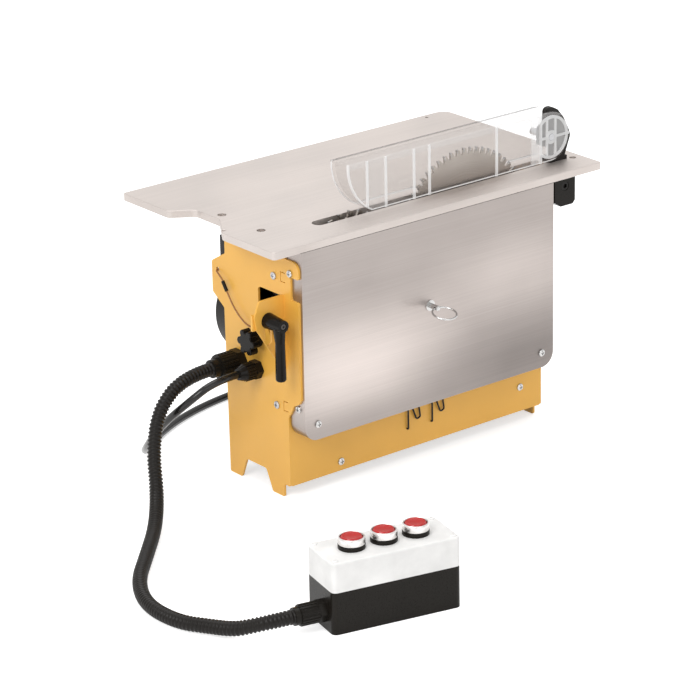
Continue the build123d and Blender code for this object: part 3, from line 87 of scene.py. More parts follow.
class NodeTree:
    """A tree of nodes, with short ways to add to it."""

    def __init__(self, tree: bpy.types.NodeTree) -> None:
        """Keep the tree."""
        self.tree = tree

    def add(self, kind: str, inputs: Inputs | None = None, **settings: object) -> bpy.types.Node:
        """Add a node.

        Args:
            kind: the node's type.
            inputs: a socket to link or a constant, by the input's name or number.
            settings: the node's own settings.

        Returns:
            The node.
        """
        node = self.tree.nodes.new(kind)
        for name, value in settings.items():
            setattr(node, name, value)
        self.fill(node, inputs or {})
        return node

    def fill(self, node: bpy.types.Node, inputs: Inputs) -> None:
        """Link or set some of a node's inputs.

        Args:
            node: the node.
            inputs: a socket to link or a constant, by the input's name or number.
        """
        for key, value in inputs.items():
            if isinstance(value, Socket):
                self.tree.links.new(value, node.inputs[key])
            else:
                node.inputs[key].default_value = value

    def join(self, operation: str, *values: Socket | float) -> Socket:
        """Join values by a sum, two at a time.

        Args:
            operation: the kind of sum, such as MULTIPLY or MAXIMUM.
            values: a socket, and then sockets or constants.

        Returns:
            The socket with the result.
        """
        result, *others = values
        for value in others:
            result = self.add("ShaderNodeMath", {0: result, 1: value}, operation=operation).outputs[0]
        return result

    def times(self, *values: Socket | float) -> Socket:
        """Multiply some values."""
        return self.join("MULTIPLY", *values)

    def most(self, *values: Socket | float) -> Socket:
        """Give the greatest of some values."""
        return self.join("MAXIMUM", *values)


class ShaderTree(NodeTree):
    """One material and its nodes, with short ways to add the usual ones."""

    def __init__(self, name: str) -> None:
        """Start a material that holds one principled shader.

        Args:
            name: the material's name.
        """
        self.material = bpy.data.materials.new(name)
        self.material.use_nodes = True
        super().__init__(self.material.node_tree)
        self.tree.nodes.clear()
        self.shader = self.add("ShaderNodeBsdfPrincipled")
        self.add("ShaderNodeOutputMaterial", {"Surface": self.shader.outputs["BSDF"]})
        self.coordinates = self.add("ShaderNodeTexCoord")

    def place(self, scale: Point = (1, 1, 1), shift: Point = (0, 0, 0)) -> Socket:
        """Give the object's own coordinates in metres, scaled and then shifted."""
        mapping = self.add("ShaderNodeMapping", {
            "Vector": self.coordinates.outputs["Object"], "Location": shift, "Scale": scale,
        })
        return mapping.outputs["Vector"]

    def away(self, centre: Point, reach: Span = (1.0, 1.0)) -> Socket:
        """Give the distance from an axis along Y.

        Args:
            centre: a point on the axis, in metres.
            reach: how many metres count as 1, along X and along Z.

        Returns:
            The socket with the distance.
        """
        scale = (1 / reach[0], 0.0, 1 / reach[1])
        shift = tuple(-value * share for value, share in zip(centre, scale))
        length = self.add("ShaderNodeVectorMath", {0: self.place(scale, shift)}, operation="LENGTH")
        return length.outputs["Value"]

    def noise(self, vector: Socket, scale: float, detail: float) -> Socket:
        """Give a noise pattern, by its lumps to one unit of the coordinates and its finer layers."""
        noise = self.add("ShaderNodeTexNoise", {"Vector": vector, "Scale": scale, "Detail": detail})
        return noise.outputs["Fac"]

    def spread(self, value: Socket, low: float, high: float, reach: Span = MIDDLE) -> Socket:
        """Map a pattern's middle values to a range.

        Args:
            value: the pattern.
            low, high: the range.
            reach: the pattern's values that give the two ends of the range.

        Returns:
            The socket with the mapped value.
        """
        mapped = self.add("ShaderNodeMapRange", {
            "Value": value, "From Min": reach[0], "From Max": reach[1], "To Min": low, "To Max": high,
        })
        return mapped.outputs["Result"]

    def past(self, value: Socket, edge: float, soft: float) -> Socket:
        """Give 1 past an edge and 0 before it; the change's width is below 0 where past means less."""
        return self.spread(value, 0.0, 1.0, (edge - soft / 2, edge + soft / 2))

    def between(self, value: Socket, band: Span, soft: float) -> Socket:
        """Give 1 inside a band and 0 outside it, with edges of some softness."""
        return self.times(self.past(value, band[0], soft), self.past(value, band[1], -soft))

    def tint(self, value: Socket, colour: Colour, shares: Span) -> Socket:
        """Give a colour that a pattern makes darker and paler.

        Args:
            value: the pattern, 0 to 1.
            colour: the colour.
            shares: what the colour is multiplied by where the pattern is low and where it is high.

        Returns:
            The socket with the colour.
        """
        ramp = self.add("ShaderNodeValToRGB", {"Fac": value})
        for stop, position, share in zip(ramp.color_ramp.elements, MIDDLE, shares):
            stop.position = position
            stop.color = (*(min(part * share, 1.0) for part in colour), 1)
        return ramp.outputs["Color"]

    def bump(self, height: Socket, distance: float, strength: float) -> None:
        """Roughen the surface by a pattern, to a depth in metres."""
        bump = self.add("ShaderNodeBump", {"Height": height, "Distance": distance, "Strength": strength})
        self.fill(self.shader, {"Normal": bump.outputs["Normal"]})


@dataclass(frozen=True)
class Grained:
    """A finish with a fine grain in its gloss and relief, and soft clouds in its colour.

    Grain is lumps to a metre, gloss the range of roughness, depth the grain's relief in metres and mirror
    the share of mirrored light. Clouds are lumps to a metre and detail, and tones what they multiply the
    colour by.
    """

    name: str
    colour: Colour
    grain: float
    gloss: Span
    depth: float = 0.00008
    mirror: float = 0.5
    grain_detail: ClassVar[float] = 2.0
    relief: ClassVar[float] = 0.4
    clouds: ClassVar[Span] = (26.0, 4.0)
    tones: ClassVar[Span] = (0.9, 1.12)
    metallic: ClassVar[float] = 0.0

    def make(self) -> bpy.types.Material:
        """Make the material.

        Returns:
            The finished material.
        """
        tree = ShaderTree(self.name)
        grain = tree.noise(tree.place(), self.grain, self.grain_detail)
        tree.fill(tree.shader, {
            "Base Color": tree.tint(tree.noise(tree.place(), *self.clouds), self.colour, self.tones),
            "Roughness": tree.spread(grain, *self.gloss),
            "Metallic": self.metallic,
            "Specular IOR Level": self.mirror,
        })
        tree.bump(grain, self.depth, self.relief)
        return tree.material


@dataclass(frozen=True)
class MouldedPlastic(Grained):
    """Moulded plastic or rubber: fine spark-eroded grain and a little dust."""


@dataclass(frozen=True)
class PowderCoat(Grained):
    """Baked paint on sheet metal: orange-peel texture and a slightly uneven colour."""

    grain: float = 650.0
    gloss: Span = (0.3, 0.44)
    depth: float = 0.00012
    relief: ClassVar[float] = 0.5
    clouds: ClassVar[Span] = (9.0, 4.0)
    tones: ClassVar[Span] = (0.93, 1.05)


@dataclass(frozen=True)
class PlainMetal(Grained):
    """Turned, polished or cast metal with a fine even texture."""

    depth: float = 0.00004
    grain_detail: ClassVar[float] = 3.0
    clouds: ClassVar[Span] = (30.0, 3.0)
    tones: ClassVar[Span] = (0.92, 1.06)
    metallic: ClassVar[float] = 1.0


@dataclass(frozen=True)
class PaintedReflection:
    """A soft patch of a sheet with a painted reflection, paler where it would mirror bright floor and darker
    where it would mirror shade.

    Place and reach along X and Z are in millimetres, and lift is the share that it is paler or darker by.
    """

    place: Point
    reach: Span
    lift: float


@dataclass(frozen=True)
class BrushedMetal:
    """Sheet metal with fine brush marks along X, soft broad tones, faint handling smudges and any painted
    reflections.
    """

    name: str
    colour: Colour
    gloss: Span
    tones: float
    tone_size: Point = (2.2, 2.2, 7.0)
    painted_reflections: tuple[PaintedReflection, ...] = ()
    contrast: float = 0.04
    marks_size: Point = (4.0, 900.0, 900.0)
    marks_detail: float = 4.0
    marks_depth: float = 0.00003
    relief: float = 0.25
    smudges: Span = (16.0, 5.0)

    def make(self) -> bpy.types.Material:
        """Make the material.

        Returns:
            The finished material.
        """
        tree = ShaderTree(self.name)
        marks = tree.noise(tree.place(self.marks_size), 1.0, self.marks_detail)
        tones = tree.noise(tree.place(self.tone_size), 1.0, 1.0)
        share = tree.times(
            tree.spread(marks, 1 - self.contrast, 1 + self.contrast),
            tree.spread(tones, 1 - self.tones, 1 + self.tones),
        )
        # Painted reflections: each soft patch lifts the colour by its share, a paler patch for mirrored
        # bright floor and a darker one for mirrored shade.
        for patch in self.painted_reflections:
            away = tree.away(metres(patch.place), tuple(value * MM for value in patch.reach))
            reflection_share = tree.add("ShaderNodeMapRange", {
                "Value": away, "To Min": 1 + patch.lift, "To Max": 1.0,
            }, interpolation_type="SMOOTHSTEP")
            share = tree.times(share, reflection_share.outputs["Result"])
        colour = tree.add("ShaderNodeVectorMath", {0: self.colour, "Scale": share}, operation="SCALE")
        tree.fill(tree.shader, {
            "Base Color": colour.outputs["Vector"],
            "Roughness": tree.spread(tree.noise(tree.place(), *self.smudges), *self.gloss),
            "Metallic": 1.0,
        })
        tree.bump(marks, self.marks_depth, self.relief)
        return tree.material


@dataclass(frozen=True)
class GroundSteel:
    """A saw blade's face: grinding rings round its bore, with a stain or two."""

    name: str
    blade: str
    colour: Colour = linear(176, 168, 160)
    tones: Span = (0.82, 1.12)
    gloss: Span = (0.24, 0.46)
    rings_to_a_metre: float = 1100.0
    ring_detail: float = 3.0
    ring_depth: float = 0.00005
    relief: float = 0.4
    stains: Span = (40.0, 5.0)

    def make(self) -> bpy.types.Material:
        """Make the material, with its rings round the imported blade's middle.

        Returns:
            The finished material.
        """
        low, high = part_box(self.blade)
        tree = ShaderTree(self.name)
        rings = tree.add("ShaderNodeTexNoise", {
            "W": tree.away((low + high) / 2), "Scale": self.rings_to_a_metre, "Detail": self.ring_detail,
        }, noise_dimensions="1D").outputs["Fac"]
        tree.fill(tree.shader, {
            "Base Color": tree.tint(rings, self.colour, self.tones),
            "Roughness": tree.spread(tree.noise(tree.place(), *self.stains), *self.gloss),
            "Metallic": 1.0,
        })
        tree.bump(rings, self.ring_depth, self.relief)
        return tree.material


@dataclass(frozen=True)
class ClearSheet:
    """Clear moulded guard: a faint veil that grows into a painted sheen at grazing angles, milky ribs,
    painted highlights along the nose rim and lower edges, a dark rear edge and a hazier hinge end.

    The veil and sheen, the frost and highlights, the edge and the hazes are opacities. Each border, from ribs
    to spokes, is a place and the width of the change there in metres, the width below 0 where what is meant
    lies before the place.
    """

    name: str
    colour: Colour
    frost_and_highlight_colour: Colour
    edge_colour: Colour
    veil_and_sheen: Span = (0.08, 0.36)
    frost_and_highlight: float = 0.72
    edge: float = 0.55
    whitening: float = 2.0
    roof_haze: float = 0.3
    nose_haze: float = 0.24
    column_haze: float = 0.5
    spoke_haze: float = 0.42
    ribs: Span = (-0.0531, -0.0002)
    front_cheek: Span = (-0.0504, -0.0004)
    rear_cheek: Span = (-0.0256, 0.0004)
    rear_edge: Span = (-0.0244, 0.0004)
    top_edge: Span = (0.361, 0.0004)
    lower_edge: Span = (0.3076, -0.0006)
    roof: Span = (0.3568, 0.0012)
    nose_rim: Span = (0.0585, 0.0008)
    nose_end: Span = (-0.058, -0.004)
    half_ring: Span = (0.0252, -0.0006)
    spokes: Span = (0.186, 0.002)
    nose_centre: Point = (-0.0324, 0.0, 0.3595)
    pivot: Point = (0.2, 0.0, 0.3345)
    nose_band: Span = (-0.067, -0.042)
    hinge_band: Span = (0.17, 0.186)
    band_soft: float = 0.004
    slope: float = 0.25
    slope_reach: Span = (0.2, 1.0)
    scuff_size: Point = (40.0, 40.0, 400.0)
    scuff_detail: float = 4.0
    scuff_shares: Span = (0.8, 1.3)
    scuff_reach: Span = (0.4, 0.8)
    scuff_depth: float = 0.00002
    relief: float = 0.2
    gloss: Span = (0.08, 0.2)
    ior: float = 1.5

    def make(self) -> bpy.types.Material:
        """Make the material.

        Returns:
            The finished material.
        """
        tree = ShaderTree(self.name)
        x, y, z = tree.add("ShaderNodeSeparateXYZ", {"Vector": tree.place()}).outputs
        front = tree.past(y, *self.front_cheek)
        cheek = tree.most(front, tree.past(y, *self.rear_cheek))
        # Painted highlights: the nose rim and the cheeks' lower edges turn pale and more opaque, standing in
        # for light caught along the edges; the ribs are frosted.
        rim = tree.past(tree.away(self.nose_centre), *self.nose_rim)
        nose = tree.times(rim, tree.past(x, *self.nose_end))
        ends = tree.most(nose, tree.past(z, *self.lower_edge))
        pale = tree.most(tree.past(y, *self.ribs), tree.times(ends, cheek))
        line = tree.times(tree.past(z, *self.top_edge), tree.past(y, *self.rear_edge))
        haze = tree.times(self.haze(tree, x, z), front)
        # Painted sheen: the sheet grows more opaque towards grazing angles, standing in for its reflection,
        # and scuffs vary it.
        slope = tree.add("ShaderNodeLayerWeight", {"Blend": self.slope})
        sheen = tree.spread(slope.outputs["Facing"], *self.veil_and_sheen, self.slope_reach)
        scuffs = tree.noise(tree.place(self.scuff_size), 1.0, self.scuff_detail)
        scuffed_sheen = tree.times(sheen, tree.spread(scuffs, *self.scuff_shares))
        whitened = tree.most(pale, tree.times(haze, self.whitening))
        tree.fill(tree.shader, {
            "Base Color": self.tones(tree, whitened, line),
            "Alpha": tree.most(scuffed_sheen, haze, tree.times(pale, self.frost_and_highlight), tree.times(line, self.edge)),
            "IOR": self.ior,
            "Roughness": tree.spread(scuffs, *self.gloss, self.scuff_reach),
        })
        tree.bump(scuffs, self.scuff_depth, self.relief)
        return tree.material

    def tones(self, tree: ShaderTree, pale: Socket, line: Socket) -> Socket:
        """Give the sheet's colour, paler on its frosted ribs, painted edge highlights and hazes, and darker
        along its rear edge.

        Args:
            tree: the material's nodes.
            pale, line: the shares of the frosted ribs, painted edge highlights and hazes, and of the rear
                edge.

        Returns:
            The socket with the colour.
        """
        level = tree.join("ADD", tree.times(pale, 0.5), tree.spread(line, 0.5, 0.0, (0.0, 1.0)))
        ramp = tree.add("ShaderNodeValToRGB", {"Fac": level})
        stops = ramp.color_ramp.elements
        stops[0].color = (*self.edge_colour, 1)
        stops[1].color = (*self.frost_and_highlight_colour, 1)
        stops.new(0.5).color = (*self.colour, 1)
        return ramp.outputs["Color"]

    def haze(self, tree: ShaderTree, x: Socket, z: Socket) -> Socket:
        """Give the haze under the roof's front edge, behind the nose and at the hinge.

        Args:
            tree: the material's nodes.
            x, z: the place along the guard and its height.

        Returns:
            The socket with the haze's opacity.
        """
        roof = tree.times(tree.past(z, *self.roof), self.roof_haze)
        nose = tree.times(tree.between(x, self.nose_band, self.band_soft), self.nose_haze)
        column = tree.times(tree.between(x, self.hinge_band, self.band_soft), self.column_haze)
        inside = tree.past(tree.away(self.pivot), *self.half_ring)
        spokes = tree.times(tree.past(x, *self.spokes), inside, self.spoke_haze)
        return tree.most(column, spokes, roof, nose)


class Finish(Enum):
    """Every finish of the machine."""

    YELLOW = PowderCoat("yellow_powder_coat", linear(240, 182, 78))
    TABLE = BrushedMetal("brushed_table", linear(203, 195, 190), (0.5, 0.64), 0.06, (3.0, 5.0, 3.0))
    # The cover's painted reflections: paler patches for bright floor mirrored left of middle and high on the
    # right, darker ones for mirrored shade low down.
    COVER = BrushedMetal("brushed_cover", linear(162, 154, 150), (0.3, 0.42), 0.05, painted_reflections=(
        PaintedReflection((-115.0, -81.5, 150.0), (200.0, 90.0), 0.72),
        PaintedReflection((110.0, -81.5, 205.0), (190.0, 60.0), 0.36),
        PaintedReflection((150.0, -81.5, 95.0), (230.0, 80.0), -0.42),
        PaintedReflection((-120.0, -81.5, 82.0), (220.0, 34.0), -0.12),
    ))
    BRIGHT = PlainMetal("polished_steel", linear(196, 195, 194), 300.0, (0.12, 0.24))
    SATIN = PlainMetal("satin_chrome", linear(228, 225, 223), 500.0, (0.24, 0.34))
    MACHINED = PlainMetal("machined_steel", linear(186, 186, 188), 700.0, (0.26, 0.4))
    CAST = PlainMetal("cast_aluminium", linear(196, 196, 198), 320.0, (0.42, 0.6), 0.0002)
    DARK_STEEL = PlainMetal("black_oxide_steel", linear(82, 79, 77), 600.0, (0.3, 0.42))
    MAIN_BLADE = GroundSteel("main_blade_steel", "main_blade")
    SCORING_BLADE = GroundSteel("scoring_blade_steel", "scoring_blade")
    CARBIDE = PlainMetal("carbide_tips", linear(172, 170, 168), 900.0, (0.2, 0.32))
    BLACK_PAINT = PowderCoat("black_paint", linear(30, 27, 25), mirror=0.2)
    BLACK_PLASTIC = MouldedPlastic("black_moulding", linear(28, 25, 21), 1400.0, (0.24, 0.38), 0.00005, 0.14)
    GLOSS_BLACK = MouldedPlastic("glossy_black", linear(24, 21, 18), 1400.0, (0.1, 0.16), 0.00002, 0.12)
    CONDUIT = MouldedPlastic("conduit_black", linear(27, 24, 21), 900.0, (0.3, 0.42), 0.00006, 0.2)
    RUBBER = MouldedPlastic("cable_rubber", linear(26, 25, 24), 1200.0, (0.12, 0.22), 0.00004, 0.4)
    WHITE_PLASTIC = MouldedPlastic("white_lid", linear(238, 237, 235), 1500.0, (0.4, 0.55))
    RED_PLASTIC = MouldedPlastic("red_caps", linear(186, 36, 34), 700.0, (0.16, 0.26), 0.00003)
    # The guard's near-white colour serves its frosted ribs and its painted edge highlights.
    CLEAR = ClearSheet("clear_guard", linear(188, 180, 176), (0.93, 0.93, 0.93), linear(120, 116, 114))
    WIRE = MouldedPlastic("brown_wire", linear(150, 98, 48), 900.0, (0.3, 0.45))

    @cache
    def material(self) -> bpy.types.Material:
        """Give the finish's material, made at its first use."""
        return self.value.make()


def new_object(name: str, data: bpy.types.ID) -> bpy.types.Object:
    """Link a new object to the scene.

    Args:
        name: the piece's name.
        data: its mesh, curve, light or camera.

    Returns:
        The object, at the origin.
    """
    made = bpy.data.objects.new(name, data)
    bpy.context.scene.collection.objects.link(made)
    return made


def mesh_from(name: str, shape: bmesh.types.BMesh, smooth: bool = True) -> bpy.types.Mesh:
    """Turn an edited shape into a mesh with outward faces.

    Args:
        name: the mesh's name.
        shape: the shape, which is freed.
        smooth: whether its faces are shaded smoothly.

    Returns:
        The mesh.
    """
    bmesh.ops.remove_doubles(shape, verts=shape.verts, dist=1e-7)
    bmesh.ops.recalc_face_normals(shape, faces=shape.faces)
    mesh = bpy.data.meshes.new(name)
    shape.to_mesh(mesh)
    shape.free()
    for face in mesh.polygons:
        face.use_smooth = smooth
    return mesh


def angles(steps: int) -> list[float]:
    """Give the angles of a turn's even steps, in radians."""
    return [FULL_TURN * step / steps for step in range(steps)]


def add_corners(shape: bmesh.types.BMesh, points: list[Point]) -> Corners:
    """Add corners to a shape, at places in millimetres."""
    return [shape.verts.new(metres(point)) for point in points]


def bridge(shape: bmesh.types.BMesh, *rings: Corners) -> None:
    """Join closed rings of corners with faces, each to the next.

    Args:
        shape: the shape that holds the corners.
        rings: the rings, with the same number of corners each.
    """
    for low, high in zip(rings, rings[1:]):
        for step in range(len(low)):
            after = (step + 1) % len(low)
            shape.faces.new((low[step], low[after], high[after], high[step]))


def lathe(name: str, profile: list[Span], steps: int = 64) -> bpy.types.Mesh:
    """Turn a profile round the Z axis.

    Args:
        name: the mesh's name.
        profile: radius and height of each corner in millimetres, from one end to the other.
        steps: how many facets a turn has.

    Returns:
        The closed mesh.
    """
    shape = bmesh.new()
    corners = add_corners(shape, [(radius, 0, height) for radius, height in profile])
    edges = [shape.edges.new(pair) for pair in zip(corners, corners[1:])]
    bmesh.ops.spin(shape, geom=corners + edges, axis=UP, cent=(0, 0, 0), steps=steps, angle=FULL_TURN)
    return mesh_from(name, shape)


def sharpen(mesh: bpy.types.Mesh, angle: float = 35.0) -> None:
    """Keep the sharper edges of a smooth mesh crisp.

    Args:
        mesh: the mesh.
        angle: how far its faces turn at a crisp edge, in degrees or more.
    """
    shape = bmesh.new()
    shape.from_mesh(mesh)
    for edge in shape.edges:
        edge.smooth = edge.calc_face_angle(0.0) < math.radians(angle)
    shape.to_mesh(mesh)
    shape.free()


class GeometryTree(NodeTree):
    """One Geometry Nodes tree with named inputs, run on some geometry to give a plain mesh."""

    def __init__(self, name: str, **inputs: str) -> None:
        """Start a tree.

        Args:
            name: the tree's name.
            inputs: kind of socket by input name, between the geometry and the finish.
        """
        super().__init__(bpy.data.node_groups.new(name, "GeometryNodeTree"))
        interface = self.tree.interface
        kinds = {"Geometry": "Geometry", **inputs, "Finish": "Material"}
        self.sockets = {
            label: interface.new_socket(label, in_out="INPUT", socket_type="NodeSocket" + kind).identifier
            for label, kind in kinds.items()
        }
        interface.new_socket("Geometry", in_out="OUTPUT", socket_type="NodeSocketGeometry")
        self.given = self.add("NodeGroupInput").outputs

    def finish(self, geometry: Socket) -> None:
        """Realize the instances, set the finish and end the tree.

        Args:
            geometry: the socket with the made geometry.
        """
        realized = self.add("GeometryNodeRealizeInstances", {"Geometry": geometry})
        finished = self.add("GeometryNodeSetMaterial", {
            "Geometry": realized.outputs["Geometry"], "Material": self.given["Finish"],
        })
        self.add("NodeGroupOutput", {"Geometry": finished.outputs["Geometry"]})

    def finish_copies(self, points: Socket, turn: Socket) -> None:
        """End the tree with a copy of the piece on each point.

        Args:
            points: the socket with the points.
            turn: the socket with each copy's rotation.
        """
        piece = self.add("GeometryNodeObjectInfo", {"Object": self.given["Piece"]})
        copies = self.add("GeometryNodeInstanceOnPoints", {
            "Points": points, "Instance": piece.outputs["Geometry"], "Rotation": turn,
        })
        self.finish(copies.outputs["Instances"])

    def run(self, name: str, base: bpy.types.Mesh, finish: Finish, **values: object) -> bpy.types.Mesh:
        """Run the tree on some geometry and keep the result as a plain mesh.

        Args:
            name: the new mesh's name.
            base: the mesh that the tree starts from.
            finish: the result's finish.
            values: value by input name.

        Returns:
            The plain mesh.
        """
        holder = new_object(name + "_base", base)
        modifier = holder.modifiers.new(name, "NODES")
        modifier.node_group = self.tree
        for label, value in {**values, "Finish": finish.material()}.items():
            modifier[self.sockets[label]] = value
        evaluated = holder.evaluated_get(bpy.context.evaluated_depsgraph_get())
        made = bpy.data.meshes.new_from_object(evaluated)
        made.name = name
        bpy.data.objects.remove(holder)
        return made

    def run_copies(
        self, name: str, base: bpy.types.Mesh, finish: Finish, piece: bpy.types.Mesh, **values: object
    ) -> bpy.types.Mesh:
        """Run a tree that copies a piece.

        Args:
            name, base, finish, values: as for any run.
            piece: the mesh to copy.

        Returns:
            The plain mesh with every copy.
        """
        master = new_object(name + "_master", piece)
        made = self.run(name, base, finish, Piece=master, **values)
        bpy.data.objects.remove(master)
        return made


class RibbedTube(GeometryTree):
    """The tree that turns a line into a tube with ribs along it."""

    stations_each: ClassVar[int] = 4
    last_raised: ClassVar[float] = 1.5

    def __init__(self) -> None:
        """Make the tree, with inputs for its ribs, radii and sides."""
        super().__init__("ribbed_tube", Ribs="Int", Crest="Float", Root="Float", Sides="Int")
        line = self.add("GeometryNodeMeshToCurve", {"Mesh": self.given["Geometry"]})
        stations = self.add("ShaderNodeMath", {
            0: self.given["Ribs"], 1: self.stations_each, 2: 1,
        }, operation="MULTIPLY_ADD")
        even = self.add("GeometryNodeResampleCurve", {
            "Curve": line.outputs["Curve"], "Count": stations.outputs[0],
        })
        index = self.add("GeometryNodeInputIndex").outputs["Index"]
        phase = self.join("MODULO", index, self.stations_each)
        radius = self.add("ShaderNodeMix", {
            0: self.join("LESS_THAN", phase, self.last_raised), 2: self.given["Root"], 3: self.given["Crest"],
        }, data_type="FLOAT")
        circle = self.add("GeometryNodeCurvePrimitiveCircle", {
            "Resolution": self.given["Sides"], "Radius": 1.0,
        })
        tube = self.add("GeometryNodeCurveToMesh", {
            "Curve": even.outputs["Curve"],
            "Profile Curve": circle.outputs["Curve"],
            "Scale": radius.outputs[0],
            "Fill Caps": True,
        })
        smooth = self.add("GeometryNodeSetShadeSmooth", {"Geometry": tube.outputs["Mesh"]})
        self.finish(smooth.outputs["Geometry"])


class SeatedPieces(GeometryTree):
    """The tree that sets copies of a piece on seats, each along its seat's own direction."""

    def __init__(self) -> None:
        """Make the tree, with an input for the piece."""
        super().__init__("seated_pieces", Piece="Object")
        aim = self.add("GeometryNodeInputNamedAttribute", {"Name": "aim"}, data_type="FLOAT_VECTOR")
        turn = self.add("FunctionNodeAlignRotationToVector", {"Vector": aim.outputs["Attribute"]}, axis="Z")
        self.finish_copies(self.given["Geometry"], turn.outputs["Rotation"])

    def build(
        self, name: str, piece: bpy.types.Mesh, seats: Sequence[Seat], finish: Finish
    ) -> bpy.types.Object:
        """Set copies of a piece on its seats.

        Args:
            name: the new object's name.
            piece: the mesh to copy, which stands up along Z.
            seats: place in millimetres and direction of each copy.
            finish: the copies' finish.

        Returns:
            The object with every copy.
        """
        points = bpy.data.meshes.new(name)
        points.from_pydata([tuple(metres(place)) for place, _ in seats], [], [])
        aims = points.attributes.new("aim", "FLOAT_VECTOR", "POINT")
        for item, (_, aim) in zip(aims.data, seats):
            item.vector = aim
        return new_object(name, self.run_copies(name, points, finish, piece))


class PieceRing(GeometryTree):
    """The tree that sets copies of a piece round a circle about Z, each turned to face outwards."""

    def __init__(self) -> None:
        """Make the tree, with inputs for the count, radius and piece."""
        super().__init__("pieces_in_a_ring", Count="Int", Radius="Float", Piece="Object")
        circle = self.add("GeometryNodeMeshCircle", {
            "Vertices": self.given["Count"], "Radius": self.given["Radius"],
        })
        place = self.add("GeometryNodeInputPosition").outputs["Position"]
        turn = self.add("FunctionNodeAlignRotationToVector", {"Vector": place}, axis="X", pivot_axis="Z")
        self.finish_copies(circle.outputs["Mesh"], turn.outputs["Rotation"])


@dataclass
class PhotoCamera:
    """The camera that took the photograph, solved from the machine's straight edges."""

    place: Point = (-2239.2, -2741.8, 1464.8)
    azimuth: float = -38.57
    elevation: float = 20.89
    roll: float = -1.12
    lens: float = 172.83
    sensor: float = 36.0
    far: float = 50.0

    def build(self) -> None:
        """Make the camera and use it for the scene."""
        azimuth, elevation, roll = (math.radians(v) for v in (self.azimuth, self.elevation, self.roll))
        back = Vector((
            math.sin(azimuth) * math.cos(elevation),
            -math.cos(azimuth) * math.cos(elevation),
            math.sin(elevation),
        ))
        right = (-back).cross(Vector(UP)).normalized()
        up = right.cross(-back)
        turned_right = math.cos(roll) * right + math.sin(roll) * up
        turned_up = math.cos(roll) * up - math.sin(roll) * right
        data = bpy.data.cameras.new("photo_camera")
        data.lens = self.lens
        data.sensor_width = self.sensor
        data.clip_end = self.far
        camera = new_object("photo_camera", data)
        turn = Matrix((turned_right, turned_up, back)).transposed().to_4x4()
        camera.matrix_world = Matrix.Translation(metres(self.place)) @ turn
        bpy.context.scene.camera = camera


@dataclass
class Studio:
    """A pale floor, soft lamps and a white surround; each lamp has a place, target, size and power."""

    floor_size: float = 14.0
    floor_colour: Colour = (0.86, 0.86, 0.86)
    floor_clouds: Span = (3.0, 2.0)
    floor_tones: Span = (1.0, 1.02)
    floor_roughness: float = 0.9
    floor_glow: float = 0.6
    surround: float = 0.58
    lamps: tuple[tuple[str, Point, Point, float, float], ...] = (
        ("key_lamp", (-2700.0, -1000.0, 2300.0), (0.0, 0.0, 200.0), 1.6, 46.0),
        ("front_lamp", (-500.0, -3000.0, 1500.0), (0.0, 0.0, 150.0), 1.6, 9.0),
        ("top_lamp", (200.0, 500.0, 3000.0), (0.0, 0.0, 200.0), 2.2, 32.0),
    )

    def build(self) -> None:
        """Make the floor, the lamps and the world."""
        bpy.context.scene.view_settings.view_transform = "Standard"
        shape = bmesh.new()
        bmesh.ops.create_grid(shape, x_segments=1, y_segments=1, size=self.floor_size / 2)
        floor = new_object("studio_floor", mesh_from("studio_floor", shape))
        floor.data.materials.append(self.floor_material())
        for name, place, target, size, power in self.lamps:
            data = bpy.data.lights.new(name, "AREA")
            data.size = size
            data.energy = power
            lamp = new_object(name, data)
            lamp.location = metres(place)
            lamp.rotation_euler = (metres(target) - metres(place)).to_track_quat("-Z", "Y").to_euler()
        self.build_world()
        log.info("studio: floor and %d lamps", len(self.lamps))

    @staticmethod
    def seen_share(tree: NodeTree) -> Socket:
        """Give a value that is 1 for camera, mirror and see-through rays, and 0 for others."""
        rays = tree.add("ShaderNodeLightPath").outputs
        return tree.most(rays["Is Camera Ray"], rays["Is Glossy Ray"], rays["Is Transmission Ray"])

    def floor_material(self) -> bpy.types.Material:
        """Make the floor's material, which looks white and still takes the shadow.

        Returns:
            The finished material.
        """
        tree = ShaderTree("studio_floor")
        clouds = tree.noise(tree.place(), *self.floor_clouds)
        tree.fill(tree.shader, {
            "Base Color": tree.tint(clouds, self.floor_colour, self.floor_tones),
            "Roughness": self.floor_roughness,
            "Emission Color": (1, 1, 1, 1),
            "Emission Strength": tree.times(self.seen_share(tree), self.floor_glow),
        })
        return tree.material

    def build_world(self) -> None:
        """Make a surround that is white to look at and softer as a light."""
        world = bpy.data.worlds.new("studio_surround")
        world.use_nodes = True
        bpy.context.scene.world = world
        tree = NodeTree(world.node_tree)
        strength = tree.add("ShaderNodeMapRange", {
            "Value": self.seen_share(tree), "To Min": self.surround, "To Max": 1.0,
        })
        tree.fill(world.node_tree.nodes["Background"], {
            "Color": (1, 1, 1, 1), "Strength": strength.outputs["Result"],
        })


def nurbs_line(name: str, points: list[Point], radius: float = 0.0) -> bpy.types.Curve:
    """Make a smooth open line with a route's points as its control points.

    Args:
        name: the curve's name.
        points: the route, in millimetres.
        radius: the tube's radius in metres, or 0 for a bare line.

    Returns:
        The curve.
    """
    curve = bpy.data.curves.new(name, "CURVE")
    curve.dimensions = "3D"
    spline = curve.splines.new("NURBS")
    spline.points.add(len(points) - 1)
    for control, point in zip(spline.points, points):
        control.co = (*metres(point), 1.0)
    spline.order_u = 3
    spline.use_endpoint_u = True
    spline.resolution_u = 8
    curve.bevel_depth = radius
    curve.bevel_resolution = 5
    curve.use_fill_caps = True
    return curve


